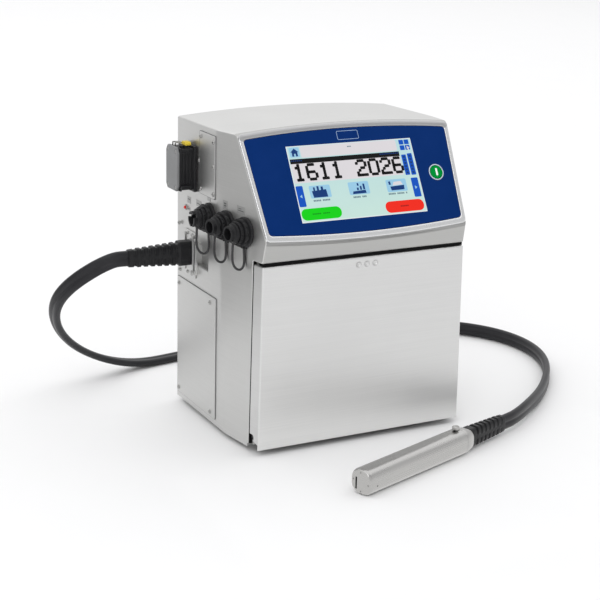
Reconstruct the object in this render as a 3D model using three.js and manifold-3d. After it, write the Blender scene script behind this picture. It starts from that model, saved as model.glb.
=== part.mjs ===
// Date code inkjet printer: a stainless cabinet with a slanted operator head,
// a drop-down ink bay door, three capped ports on the left side and a printhead
// on a flat flexible conduit, lying on the same surface as the cabinet.
// Millimetres, +Z up, the door faces -Y, +X is to the right seen from the front.
import * as THREE from "three";
import { mergeVertices } from "three/addons/utils/BufferGeometryUtils.js";
import Module from "manifold-3d";

const wasm = await Module();
wasm.setup();

// ------------------------------------------------------------ dimensions
const W = 400; // cabinet width at the rear
const Y_BACK = 201; // rear face
const Y_WALL = -76; // front wall behind the door
const Y_DOOR = -95; // outer face of the door
const Z0 = 8; // underside of the cabinet, the height of the feet
const Z_TOP = 499; // top edge at the rear corners
const SLANT_TOP = [-13, 502]; // y, z of the upper edge of the slanted face
const SLANT_LOW = [-102, 350]; // y, z of its lower edge
const LIP_Z = 314; // underside of the head's lip
const LIP_Y = -94;
const DOME = 9; // rise of the top across the width
const BOW = 8; // bow of the slanted face's lower edge, along the slant
const TAPER = 0.141; // the sides run in towards the front by this much per mm
const LEAN = 0.0125; // and towards the top by this much per mm
const T = 2.5; // sheet thickness, folds included
const GAP = 0.3; // between pieces that touch
const ORIGIN = [-42.897, -49.367]; // the origin, in the frame these numbers use (x from the middle of the cabinet)
const DOOR_TOP = 309;
const DOOR_LOW = 10;
const DOOR_T = 2;
const HINGE_Y = -77; // axis of the door's pins, along X
const HINGE_Z = 27;
const OPEN_X = 172; // half width of the ink bay's mouth
const OPEN_Z = [41, 290];
const PANEL_T = 3; // blue panel
const SCREEN = { u: 113.5, v0: 25, v1: 151 }; // half width, and distances down the slant
const BUTTON = { u: 147, v: 87, r: 11, ring: 14 };
// ports: a point on the side, and the way the port faces; the front two sit on the tapered facet
const FACET = [-1, -TAPER, LEAN];
const PORTS = [
  { at: [-200, 66, 355], dir: [-1, 0, 0] },
  { at: [-(200 + 0.141 * 7 - 0.0125 * 347), 7, 355], dir: FACET },
  { at: [-(200 - 0.141 * 45 - 0.0125 * 347), -45, 355], dir: FACET },
];
const PORT_R = 24; // flange radius
const ENTRY = { y: 143, z: 279 }; // axis of the conduit's boot on the left side
const CONDUIT_W = 26; // flat conduit: width and thickness
const CONDUIT_T = 12.5;
const BOOT_L = 110; // cabinet boot, from the side to its thin end
const HEAD = { x: -109.6, y: -288, turn: (19.15 * Math.PI) / 180, side: 40, length: 257 };
const HEAD_BOOT_L = 96;

// ------------------------------------------------------------ helpers
const root = new THREE.Group();
const steel = { color: 0xc9cac6, roughness: 0.32, metalness: 1 };
const darkSteel = { color: 0x9a9b98, roughness: 0.4, metalness: 1 };
const black = { color: 0x1b1b1d, roughness: 0.6, metalness: 0 };
const rubber = { color: 0x222224, roughness: 0.75, metalness: 0 };

function clean(g) {
  const out = (g.index ? g.toNonIndexed() : g.clone());
  const flat = new THREE.BufferGeometry().setAttribute("position", out.getAttribute("position"));
  return mergeVertices(flat, 1e-4);
}
function solid(g) {
  const m = clean(g);
  return new wasm.Manifold(
    new wasm.Mesh({
      numProp: 3,
      vertProperties: new Float32Array(m.attributes.position.array),
      triVerts: new Uint32Array(m.index.array),
    }),
  );
}
function geometry(m) {
  const mesh = m.getMesh();
  const g = new THREE.BufferGeometry();
  g.setAttribute("position", new THREE.BufferAttribute(new Float32Array(mesh.vertProperties), 3));
  g.setIndex(new THREE.BufferAttribute(new Uint32Array(mesh.triVerts), 1));
  g.computeVertexNormals();
  return g;
}
const cut = (a, ...tools) => tools.reduce((m, t) => m.subtract(t), a);
const join = (a, ...others) => others.reduce((m, t) => m.add(t), a);

function piece(name, shape, look, parent = root) {
  const g = shape.isBufferGeometry ? shape : geometry(shape);
  const mesh = new THREE.Mesh(g, new THREE.MeshStandardMaterial(look));
  mesh.name = name;
  parent.add(mesh);
  return mesh;
}
function boxG(x0, x1, y0, y1, z0, z1) {
  const g = new THREE.BoxGeometry(x1 - x0, y1 - y0, z1 - z0);
  g.translate((x0 + x1) / 2, (y0 + y1) / 2, (z0 + z1) / 2);
  return g;
}
const box = (...a) => solid(boxG(...a));
// A cylinder from point a to point b.
function rodG(a, b, r, sides = 16, r2 = r) {
  const A = new THREE.Vector3(...a);
  const B = new THREE.Vector3(...b);
  const g = new THREE.CylinderGeometry(r2, r, A.distanceTo(B), sides);
  const dir = B.clone().sub(A).normalize();
  g.applyQuaternion(new THREE.Quaternion().setFromUnitVectors(new THREE.Vector3(0, 1, 0), dir));
  g.translate((A.x + B.x) / 2, (A.y + B.y) / 2, (A.z + B.z) / 2);
  return g;
}
const rod = (...a) => solid(rodG(...a));
// A closed outline in (y, z), extruded along X in steps, with each point moved by fn.
function alongX(outline, x0, x1, steps = 1, fn = null) {
  const shape = new THREE.Shape(outline.map(([y, z]) => new THREE.Vector2(y, z)));
  const g = new THREE.ExtrudeGeometry(shape, { depth: x1 - x0, steps, bevelEnabled: false });
  const p = g.attributes.position;
  for (let i = 0; i < p.count; i++) {
    const y = p.getX(i);
    const z = p.getY(i);
    const x = x0 + p.getZ(i);
    const [dy, dz] = fn ? fn(x, y, z) : [0, 0];
    p.setXYZ(i, x, y + dy, z + dz);
  }
  return g;
}
// A turned piece: profile of [radius, height] pairs, its axis laid from point a along dir.
function turned(profile, a, dir, sides = 24) {
  const g = new THREE.LatheGeometry(profile.map(([r, h]) => new THREE.Vector2(r, h)), sides);
  g.applyQuaternion(
    new THREE.Quaternion().setFromUnitVectors(new THREE.Vector3(0, 1, 0), new THREE.Vector3(...dir).normalize()),
  );
  g.translate(...a);
  const m = solid(g);
  return m.volume() < 0 ? solid(flip(g)) : m;
}
function flip(g) {
  const out = clean(g);
  const ix = out.index.array;
  for (let i = 0; i < ix.length; i += 3) [ix[i + 1], ix[i + 2]] = [ix[i + 2], ix[i + 1]];
  return out;
}
function roundRect(w, h, r, n = 3) {
  const pts = [];
  for (const [sx, sy, a0] of [[1, 1, 0], [-1, 1, 90], [-1, -1, 180], [1, -1, 270]])
    for (let i = 0; i <= n; i++) {
      const a = ((a0 + (90 * i) / n) * Math.PI) / 180;
      pts.push([sx * (w / 2 - r) + r * Math.cos(a), sy * (h / 2 - r) + r * Math.sin(a)]);
    }
  return pts;
}
// A section swept through stations: station(i) gives a function from section (a, b) to a point.
function swept(section, stations) {
  const n = stations.length - 1;
  const shape = new THREE.Shape(section.map(([a, b]) => new THREE.Vector2(a, b)));
  const g = new THREE.ExtrudeGeometry(shape, { depth: n, steps: n, bevelEnabled: false });
  const p = g.attributes.position;
  for (let i = 0; i < p.count; i++) {
    const k = Math.round(p.getZ(i));
    const v = stations[k](p.getX(i), p.getY(i));
    p.setXYZ(i, v.x, v.y, v.z);
  }
  const m = solid(g);
  return m.volume() < 0 ? solid(flip(g)) : m;
}

// The side facets: beyond this plane there is nothing. off moves it outwards.
function beyondSide(s, off = 0) {
  const n = new THREE.Vector3(s, -TAPER, LEAN).normalize();
  const g = new THREE.BoxGeometry(600, 2000, 2000);
  g.applyQuaternion(new THREE.Quaternion().setFromUnitVectors(new THREE.Vector3(1, 0, 0), n));
  const c = new THREE.Vector3((s * W) / 2, 0, Z0).add(n.clone().multiplyScalar(300 + off));
  g.translate(c.x, c.y, c.z);
  return solid(g);
}
const between = (m, off = 0) => cut(m, beyondSide(-1, off), beyondSide(1, off));

// The slanted face: u runs along X, v down the slope from its upper edge, w out of it.
const slantLength = Math.hypot(SLANT_LOW[0] - SLANT_TOP[0], SLANT_LOW[1] - SLANT_TOP[1]);
const down = new THREE.Vector3(0, SLANT_LOW[0] - SLANT_TOP[0], SLANT_LOW[1] - SLANT_TOP[1]).normalize();
const out = new THREE.Vector3(0, down.z, -down.y).normalize();
const onSlant = (u, v, w) =>
  new THREE.Vector3(u, SLANT_TOP[0], SLANT_TOP[1]).addScaledVector(down, v).addScaledVector(out, w);
// An outline in (u, v) made into a slab between w0 and w1.
function slab(outline, w0, w1, holes = []) {
  const shape = new THREE.Shape(outline.map(([u, v]) => new THREE.Vector2(u, v)));
  for (const h of holes) shape.holes.push(new THREE.Path(h.map(([u, v]) => new THREE.Vector2(u, v))));
  const g = new THREE.ExtrudeGeometry(shape, { depth: w1 - w0, steps: 1, bevelEnabled: false });
  const p = g.attributes.position;
  for (let i = 0; i < p.count; i++) {
    const q = onSlant(p.getX(i), p.getY(i), w0 + p.getZ(i));
    p.setXYZ(i, q.x, q.y, q.z);
  }
  const m = solid(g);
  return m.volume() < 0 ? solid(flip(g)) : m;
}
// The face's own outline, arched at the top and bowed at the bottom, moved in by d.
function faceOutline(d, corner = 6) {
  const top = (u) => -(DOME / 0.863) * (1 - (u / 192) ** 2) + d;
  const low = (u) => slantLength + BOW * (1 - (u / 181) ** 2) - d;
  const side = (v) => 191.4 - (v / slantLength) * 10.4 - d;
  const pts = [];
  const n = 12;
  const ut = side(d) - corner;
  const ul = side(slantLength - d) - corner;
  for (let i = 0; i <= n; i++) { const u = -ut + (2 * ut * i) / n; pts.push([u, top(u)]); }
  pts.push([side(d + corner * 0.3) - corner * 0.3, top(ut) + corner * 0.35]);
  pts.push([side(d + corner), top(ut) + corner]);
  pts.push([side(slantLength - d - corner), low(ul) - corner]);
  pts.push([side(slantLength - d - corner * 0.3) - corner * 0.3, low(ul) - corner * 0.35]);
  for (let i = 0; i <= n; i++) { const u = ul - (2 * ul * i) / n; pts.push([u, low(u)]); }
  pts.push([-(side(slantLength - d - corner * 0.3) - corner * 0.3), low(ul) - corner * 0.35]);
  pts.push([-side(slantLength - d - corner), low(ul) - corner]);
  pts.push([-side(d + corner), top(ut) + corner]);
  pts.push([-(side(d + corner * 0.3) - corner * 0.3), top(ut) + corner * 0.35]);
  return pts;
}
const circle = (u, v, r, n = 24) =>
  Array.from({ length: n }, (_, i) => {
    const a = (2 * Math.PI * i) / n;
    return [u + r * Math.cos(a), v + r * Math.sin(a)];
  });

// ------------------------------------------------------------ cabinet shell
const arch = (x) => 1 - (x / (W / 2)) ** 2;
const slantMove = (x, y, z) => {
  if (z > 480 && y > 50) return [0, DOME * arch(x)];
  if (z > 480) return [DOME * arch(x) * 0.586, DOME * arch(x)];
  if (z > 340 && y < -90) return [down.y * BOW * arch(x), down.z * BOW * arch(x)];
  return [0, 0];
};
{
  const outer = between(
    solid(
      alongX(
        [[Y_BACK, Z0], [Y_BACK, Z_TOP], SLANT_TOP, SLANT_LOW, [LIP_Y, LIP_Z], [Y_WALL, LIP_Z], [Y_WALL, Z0]],
        -W / 2, W / 2, 12, slantMove,
      ),
    ),
  );
  const inner = between(
    solid(
      alongX(
        [
          [Y_BACK + 30, Z0 - 20], [Y_BACK + 30, Z_TOP - T - 0.3], [SLANT_TOP[0] + 1.3, SLANT_TOP[1] - T - 0.3],
          [SLANT_LOW[0] + 2.9, SLANT_LOW[1] + 0.3], [LIP_Y + 2.5, LIP_Z + T], [Y_WALL + T, LIP_Z + T], [Y_WALL + T, Z0 - 20],
        ],
        -W / 2 + T, W / 2 - T, 12, slantMove,
      ),
    ),
    -T,
  );
  let shell = cut(outer, inner);
  shell = cut(
    shell,
    box(-OPEN_X, OPEN_X, Y_WALL - 3, Y_WALL + T + 3, OPEN_Z[0], OPEN_Z[1]), // ink bay mouth
    box(-W, W, Y_WALL - 5, -64, Z0 - 5, 14), // lower front corner, clear of the door's swing
    box(-180, -146, Y_WALL - 3, Y_WALL + T + 3, 10, 34.5), // hinge notches
    box(146, 180, Y_WALL - 3, Y_WALL + T + 3, 10, 34.5),
    slab(faceOutline(7.7), -12, 6), // display opening
    box(-W / 2 - 5, -W / 2 + 8, 72, 124, 262, 302), // conduit entry recess
    ...PORTS.map(({ at: [x, y, z] }) => rod([x - 12, y, z], [x + 12, y, z], 13, 20)),
    rod([-W / 2 - 5, 165, 351], [-W / 2 + 5, 165, 351], 3.3, 12), // status lamp hole
    box(-W / 2 - 5, -W / 2 + 5, 126, 162, 394, 454), // opening behind the input/output connector
  );
  piece("cabinet_shell", shell, steel);
}

// base plate with the ears that hold the door's pins
{
  let plate = between(box(-W / 2 + 3, W / 2 - 3, -60, Y_BACK - 3, Z0, Z0 + T), -3.2);
  for (const s of [-1, 1])
    for (const x of [150, 170]) {
      const a = Math.min(s * x, s * (x + 4));
      const b = a + 4;
      plate = join(
        plate,
        box(a, b, -60, -52, Z0 + 1, HINGE_Z + 5),
        box(a, b, HINGE_Y, -52, HINGE_Z - 5, HINGE_Z + 5),
        rod([a, HINGE_Y, HINGE_Z], [b, HINGE_Y, HINGE_Z], 5, 20),
      );
    }
  for (const s of [-1, 1]) plate = cut(plate, rod([s * 148, HINGE_Y, HINGE_Z], [s * 176, HINGE_Y, HINGE_Z], 2.3, 16));
  piece("base_plate", plate, darkSteel);
}
for (const [n, s] of [["left", -1], ["right", 1]])
  piece("door_hinge_pin_" + n, rod([s * 149.5, HINGE_Y, HINGE_Z], [s * 174.5, HINGE_Y, HINGE_Z], 2, 16), darkSteel);

// ------------------------------------------------------------ rear panel, inlet, switch, fan
const FAN = { x: 95, z: 400, r: 36 };
{
  let back = solid(
    alongX([[Y_BACK - 2.3, Z0 + T + GAP], [Y_BACK, Z0 + T + GAP], [Y_BACK, Z_TOP - T - 0.7], [Y_BACK - 2.3, Z_TOP - T - 0.7]],
      -W / 2 + T + GAP, W / 2 - T - GAP, 12, (x, y, z) => (z > 400 ? [0, DOME * arch(x)] : [0, 0])),
  );
  back = between(back, -T - GAP);
  for (let i = -4; i <= 4; i++) {
    const h = 33 * Math.sqrt(1 - (i / 4.6) ** 2);
    back = cut(back, box(FAN.x + i * 8 - 1.8, FAN.x + i * 8 + 1.8, Y_BACK - 6, Y_BACK + 4, FAN.z - h, FAN.z + h));
  }
  for (let i = 0; i < 8; i++) back = cut(back, box(-140, -60, Y_BACK - 6, Y_BACK + 4, 384 + i * 9, 387.6 + i * 9));
  back = cut(back, box(-144.3, -95.7, Y_BACK - 6, Y_BACK + 4, 55.7, 84.3), box(-81.3, -58.7, Y_BACK - 6, Y_BACK + 4, 55.7, 84.3));
  piece("rear_panel", back, steel);

  const inlet = cut(
    join(box(-144, -96, Y_BACK - 22, Y_BACK - 0.5, 56, 84), box(-147, -93, Y_BACK + GAP, Y_BACK + 2.3, 53, 87), box(-143, -97, Y_BACK - 1, Y_BACK + 1, 57, 83)),
    box(-134, -106, Y_BACK - 16, Y_BACK + 5, 61, 79),
  );
  const pins = [-127, -120, -113].map((x, i) => box(x - 1, x + 1, Y_BACK - 17, Y_BACK - 4, 69 + (i === 1 ? 1 : -3), 73 + (i === 1 ? 1 : -3)));
  const switchFrame = cut(
    join(box(-81, -59, Y_BACK - 20, Y_BACK - 0.5, 56, 84), box(-94, -56, Y_BACK + GAP, Y_BACK + 2.3, 53, 87), box(-80, -60, Y_BACK - 1, Y_BACK + 1, 57, 83)),
    box(-77.5, -62.5, Y_BACK - 15, Y_BACK + 5, 58.5, 81.5),
  );
  piece("mains_inlet", join(inlet, switchFrame, ...pins), black);
  // rocker with a shallow V face, turning on a line 6 mm inside the panel
  piece("mains_switch_rocker",
    solid(alongX([[Y_BACK - 9, 62.4], [Y_BACK + 3.4, 62.2], [Y_BACK + 1.6, 70], [Y_BACK + 5, 77.6], [Y_BACK - 9, 77.4]], -76.8, -63.2)),
    { color: 0x141415, roughness: 0.4, metalness: 0 });

  const frame = cut(
    box(FAN.x - 40, FAN.x + 40, Y_BACK - 27.8, Y_BACK - 2.8, FAN.z - 40, FAN.z + 40),
    rod([FAN.x, Y_BACK - 24, FAN.z], [FAN.x, Y_BACK, FAN.z], 37.5, 32),
    cut(rod([FAN.x, Y_BACK - 30, FAN.z], [FAN.x, Y_BACK - 23, FAN.z], 37.5, 32),
      box(FAN.x - 40, FAN.x + 40, Y_BACK - 31, Y_BACK - 22, FAN.z - 3, FAN.z + 3),
      box(FAN.x - 3, FAN.x + 3, Y_BACK - 31, Y_BACK - 22, FAN.z - 40, FAN.z + 40),
      rod([FAN.x, Y_BACK - 31, FAN.z], [FAN.x, Y_BACK - 22, FAN.z], 15, 20)),
  );
  piece("cooling_fan_frame", frame, black);
  let rotor = rod([FAN.x, Y_BACK - 21.8, FAN.z], [FAN.x, Y_BACK - 5, FAN.z], 14, 20);
  for (let i = 0; i < 7; i++) {
    const blade = boxG(-6, 6, -0.9, 0.9, 12, 34.5);
    blade.rotateZ(0.6);
    blade.rotateY((2 * Math.PI * i) / 7);
    blade.translate(FAN.x, Y_BACK - 13.5, FAN.z);
    rotor = join(rotor, solid(blade));
  }
  piece("cooling_fan_rotor", rotor, { color: 0x2b2b2e, roughness: 0.5, metalness: 0 });
}

// ------------------------------------------------------------ operator head
piece("head_bezel",
  slab(faceOutline(0.6, 8), 0.3, 2.3, [faceOutline(7.7, 7)]), { color: 0xdfe0df, roughness: 0.2, metalness: 1 });
const BR = BUTTON.ring + 0.4;
const screenHole = [[-SCREEN.u - 0.4, SCREEN.v0 - 0.4], [SCREEN.u + 0.4, SCREEN.v0 - 0.4], [SCREEN.u + 0.4, SCREEN.v1 + 0.4], [-SCREEN.u - 0.4, SCREEN.v1 + 0.4]];
piece("display_panel",
  slab(faceOutline(8.1, 6), -1.6, 1.4, [screenHole, circle(BUTTON.u, BUTTON.v, BR)]),
  { color: 0x003074, roughness: 0.35, metalness: 0 });
const screenSlab = [[-SCREEN.u, SCREEN.v0], [SCREEN.u, SCREEN.v0], [SCREEN.u, SCREEN.v1], [-SCREEN.u, SCREEN.v1]];
piece("touchscreen", slab(screenSlab, -1.6, 1.0), { color: 0xbfe0de, roughness: 0.1, metalness: 0 });
piece("display_module", slab([[-128, 8], [128, 8], [128, 166], [-128, 166]], -24, -1.9), black);
piece("power_button_ring",
  slab(circle(BUTTON.u, BUTTON.v, BUTTON.ring, 28), -8, 2.4, [circle(BUTTON.u, BUTTON.v, BUTTON.r + 0.5)]),
  { color: 0xb9c6d8, roughness: 0.3, metalness: 0.4 });
piece("power_button", slab(circle(BUTTON.u, BUTTON.v, BUTTON.r), -4, 3.0), { color: 0x18a53c, roughness: 0.35, metalness: 0 });

// ------------------------------------------------------------ front door
{
  const outer = between(box(-W / 2, W / 2, Y_DOOR, Y_WALL - 1.5, DOOR_LOW, DOOR_TOP));
  const inner = between(box(-W / 2, W / 2, Y_DOOR + DOOR_T, Y_WALL + 3, DOOR_LOW + 2, DOOR_TOP - 2), -DOOR_T);
  let door = cut(outer, inner);
  // below the pins only the front sheet goes on down
  door = cut(door, solid(alongX([[Y_DOOR + DOOR_T, 18.6], [HINGE_Y - 0.8, 25.7], [-70, 25.7], [-70, 4], [Y_DOOR + DOOR_T, 4]], -W, W)));
  for (const s of [-1, 1]) {
    const a = Math.min(s * 158, s * 166);
    let lug = join(
      box(a, a + 8, Y_DOOR + 1, HINGE_Y, HINGE_Z - 4.6, HINGE_Z + 5),
      rod([a, HINGE_Y, HINGE_Z], [a + 8, HINGE_Y, HINGE_Z], 5, 20),
    );
    lug = cut(lug, rod([a - 1, HINGE_Y, HINGE_Z], [a + 9, HINGE_Y, HINGE_Z], 2.4, 16));
    door = join(door, lug);
  }
  for (const x of [-14, 1, 16]) door = cut(door, rod([x, Y_DOOR - 1, 297], [x, Y_DOOR + 1, 297], 3.4, 12));
  piece("front_door", door, steel);
}
piece("door_gasket",
  cut(box(-179, 179, Y_WALL - 4.3, Y_WALL - GAP, 35, 296), box(-173, 173, Y_WALL - 6, Y_WALL + 1, 41, 290)), rubber);
piece("door_catch",
  join(box(-20, 20, Y_WALL - 13.7, Y_WALL - GAP, 297, 304), box(-26, 26, Y_WALL - 2.3, Y_WALL - GAP, 297, 305)), black);

// ------------------------------------------------------------ left side: covers, plates and their screws
const XL = -W / 2;
piece("side_access_cover", box(XL - 2, XL - GAP, 39, 196, 18, 225), steel);
piece("interface_plate", box(XL - 1.8, XL - GAP, 46, 106, 388, 490), steel);
function screw(name, y, z, x = XL - 2.3, r = 3) {
  piece(name, turned([[0, 0], [r, 0], [r, 0.8], [r * 0.7, 1.8], [0, 1.8]], [x, y, z], [-1, 0, 0], 12), darkSteel);
}
screw("access_cover_screw_1", 60, 214);
screw("access_cover_screw_2", 57, 26);
screw("interface_plate_screw_1", 51, 480, XL - 2.1);
screw("interface_plate_screw_2", 51, 440, XL - 2.1);
screw("interface_plate_screw_3", 51, 396, XL - 2.1);

// input/output connector: housing on the side, grey cover plate outside, cable tag on top
{
  const hood = join(
    box(XL - 28, XL - GAP, 121, 167, 390, 458),
    box(XL - 6, XL - GAP, 118, 170, 386, 462),
    box(XL - 30, XL - 14, 112, 124, 393, 399),
    ...[0, 1, 2, 3].map((i) => box(XL - 26 + i * 6, XL - 23 + i * 6, 119.4, 124, 396, 452)),
  );
  piece("io_connector_hood", hood, black);
  piece("io_connector_cover", solid(alongX([[120, 396], [126, 388], [162, 388], [168, 396], [168, 452], [162, 461], [126, 461], [120, 452]], XL - 35, XL - 30.3)),
    { color: 0x6d6e6f, roughness: 0.45, metalness: 0.3 });
  piece("io_connector_tag", box(XL - 17, XL - 7, 128, 146, 462.3, 468), { color: 0xdfc23c, roughness: 0.5, metalness: 0 });
}
piece("status_lamp", turned([[0, 0], [3, 0], [3, 9], [2.2, 11.4], [0, 12.4]], [XL + 8, 165, 351], [-1, 0, 0], 12),
  { color: 0xd9342b, roughness: 0.3, metalness: 0 });

// ------------------------------------------------------------ ports, dust caps, lanyards
PORTS.forEach(({ at, dir }, i) => {
  const n = i + 1;
  const d = new THREE.Vector3(...dir).normalize();
  const base = new THREE.Vector3(...at).addScaledVector(d, GAP);
  const p0 = base.toArray();
  // flange and screwed socket
  piece("port_socket_" + n,
    turned([[0, 0], [PORT_R, 0], [PORT_R, 4], [19, 5.5], [19, 8], [15, 8], [15, 16], [0, 16]], p0, d.toArray(), 24), black);
  // cap: skirt round the socket, cone, open end
  piece("dust_cap_" + n,
    turned(
      [[0, 18.5], [15.6, 18.5], [15.6, 8.4], [22, 8.4], [22.6, 10], [22.6, 13], [21, 14.5], [19.5, 20], [16, 27], [13, 31], [13, 33], [9.5, 33], [9.5, 26], [0, 26]],
      p0, d.toArray(), 24), rubber);
  // lanyard: a loop that hangs from under the flange to under the cap
  const loop = [];
  const top = -25;
  for (let k = 0; k <= 18; k++) {
    const a = Math.PI * (k / 18);
    const q = base.clone().addScaledVector(d, 2.5 + 10.2 * (1 - Math.cos(a)));
    q.y -= 1.5 * Math.sin(a * 2);
    q.z += top - 41 * Math.sin(a) ** 0.62 + (k === 0 ? -1 : k === 18 ? 1 : 0);
    loop.push(q);
  }
  const path = new THREE.CatmullRomCurve3(loop, false, "centripetal");
  const ring = circle(0, 0, 1.4, 8);
  const stations = [];
  for (let k = 0; k <= 22; k++) {
    const c = path.getPointAt(k / 22);
    const t = path.getTangentAt(k / 22);
    const side = new THREE.Vector3(0, 1, 0);
    const up = new THREE.Vector3().crossVectors(side, t).normalize();
    const b = new THREE.Vector3().crossVectors(t, up).normalize();
    stations.push((p, q) => c.clone().addScaledVector(up, p).addScaledVector(b, q));
  }
  piece("cap_lanyard_" + n, swept(ring, stations), rubber);
});

// ------------------------------------------------------------ conduit entry
piece("conduit_bracket",
  join(
    box(XL - 2.3, XL - GAP, 121.5, 164, 238, 316),
    box(XL - 2.3, XL + 12, 121.5, 123.5, 262.5, 301.5),
    box(XL + 10, XL + 12, 72.5, 123.5, 262.5, 301.5),
  ), steel);
function boot(len, w0, h0, w1, h1, place, block) {
  // a square block, then ribs that taper towards the conduit
  const section = roundRect(2, 2, 0.55, 3);
  const stations = [];
  const add = (s, w, h) => stations.push((a, b) => place(s, (a * w) / 2, (b * h) / 2));
  add(0, block[0], block[1]);
  add(block[2], block[0], block[1]);
  add(block[2] + 1.5, w0 * 0.9, h0 * 0.9);
  const n = 6;
  const s0 = block[2] + 6;
  const pitch = (len - s0 - 10) / n;
  for (let i = 0; i < n; i++) {
    const f = i / (n - 1);
    const w = w0 + (w1 - w0) * f;
    const h = h0 + (h1 - h0) * f;
    add(s0 + i * pitch, w * 0.88, h * 0.88);
    add(s0 + i * pitch + 1.2, w, h);
    add(s0 + i * pitch + pitch * 0.55, w, h);
    add(s0 + i * pitch + pitch * 0.55 + 1.2, w * 0.88, h * 0.88);
  }
  add(len, w1 * 0.9, h1 * 0.9);
  return swept(section, stations);
}
piece("cabinet_boot",
  boot(BOOT_L, 26, 38, 19, 31, (s, a, b) => new THREE.Vector3(XL - 2.6 - s, ENTRY.y + a, ENTRY.z + b), [28, 41, 22]), rubber);

// ------------------------------------------------------------ printhead, in its own turned group
const head = new THREE.Group();
head.position.set(HEAD.x, HEAD.y, HEAD.side / 2);
head.rotation.z = HEAD.turn;
root.add(head);
{
  const S = HEAD.side;
  const alongS = (section, s0, s1, fn) => {
    const n = fn ? fn.length - 1 : 1;
    const st = (fn || [[s0, 1], [s1, 1]]).map(([s, k]) => (a, b) => new THREE.Vector3(s, a * k, b * k));
    return swept(section, st);
  };
  const skin = roundRect(S, S, 9, 4);
  const bore = roundRect(S - 3.2, S - 3.2, 7.4, 4);
  let cover = alongS(skin, 0, 0, [[0, 0.8], [4.5, 0.985], [7, 1], [236, 1]]);
  cover = cut(cover, alongS(bore, 0, 0, [[2, 0.78], [5, 0.95], [7.5, 1], [240, 1]]));
  cover = cut(cover, box(-2, 6, 8.2, 11.2, -11, 10)); // drop slot
  cover = cut(cover, box(222, 240, -3, 3, S / 2 - 5, S / 2 + 3)); // open slot round the thumb screw
  piece("printhead_cover", cover, steel, head);
  piece("printhead_collar",
    join(
      alongS(skin, 0, 0, [[236.4, 1], [240, 1], [HEAD.length, 0.8]]),
      alongS(roundRect(S - 4.4, S - 4.4, 6.6, 4), 0, 0, [[229.5, 1], [237, 1]]).subtract(box(220, 236.39, -20, 20, 8, 20)),
    ), steel, head);
  piece("printhead_chassis", join(box(14, 229.2, -13, 13, -13, -7), box(150, 229.2, -13, 13, -8, 4)), darkSteel, head);
  piece("nozzle_block", join(box(96, 140, -10, 12, -6.7, 9), rod([88, 9.7, 0], [97, 9.7, 0], 3, 12)), { color: 0x7b7c80, roughness: 0.4, metalness: 0.8 }, head);
  piece("deflector_plate_hv", box(40, 84, 11.6, 13, -6.7, 9), { color: 0xb8a26a, roughness: 0.35, metalness: 1 }, head);
  piece("deflector_plate_ground", box(40, 84, 2.4, 4.4, -6.7, 9), darkSteel, head);
  piece("gutter_block", cut(box(16, 32, 2, 13, -6.7, 3), rod([15, 9.7, 0], [26, 9.7, 0], 1.6, 12)), { color: 0x3b3b3e, roughness: 0.5, metalness: 0 }, head);
  piece("cover_thumb_screw",
    turned([[0, -11], [2.2, -11], [2.2, 1], [3.2, 1], [5, 1.8], [5, 6], [4, 7], [0, 7]], [228, 0, S / 2], [0, 0, 1], 16), steel, head);
  piece("printhead_boot",
    boot(HEAD_BOOT_L, 22, 33, 18, 30, (s, a, b) => new THREE.Vector3(HEAD.length + GAP + s, a, b), [24, 33, 12]), rubber, head);
}

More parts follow.
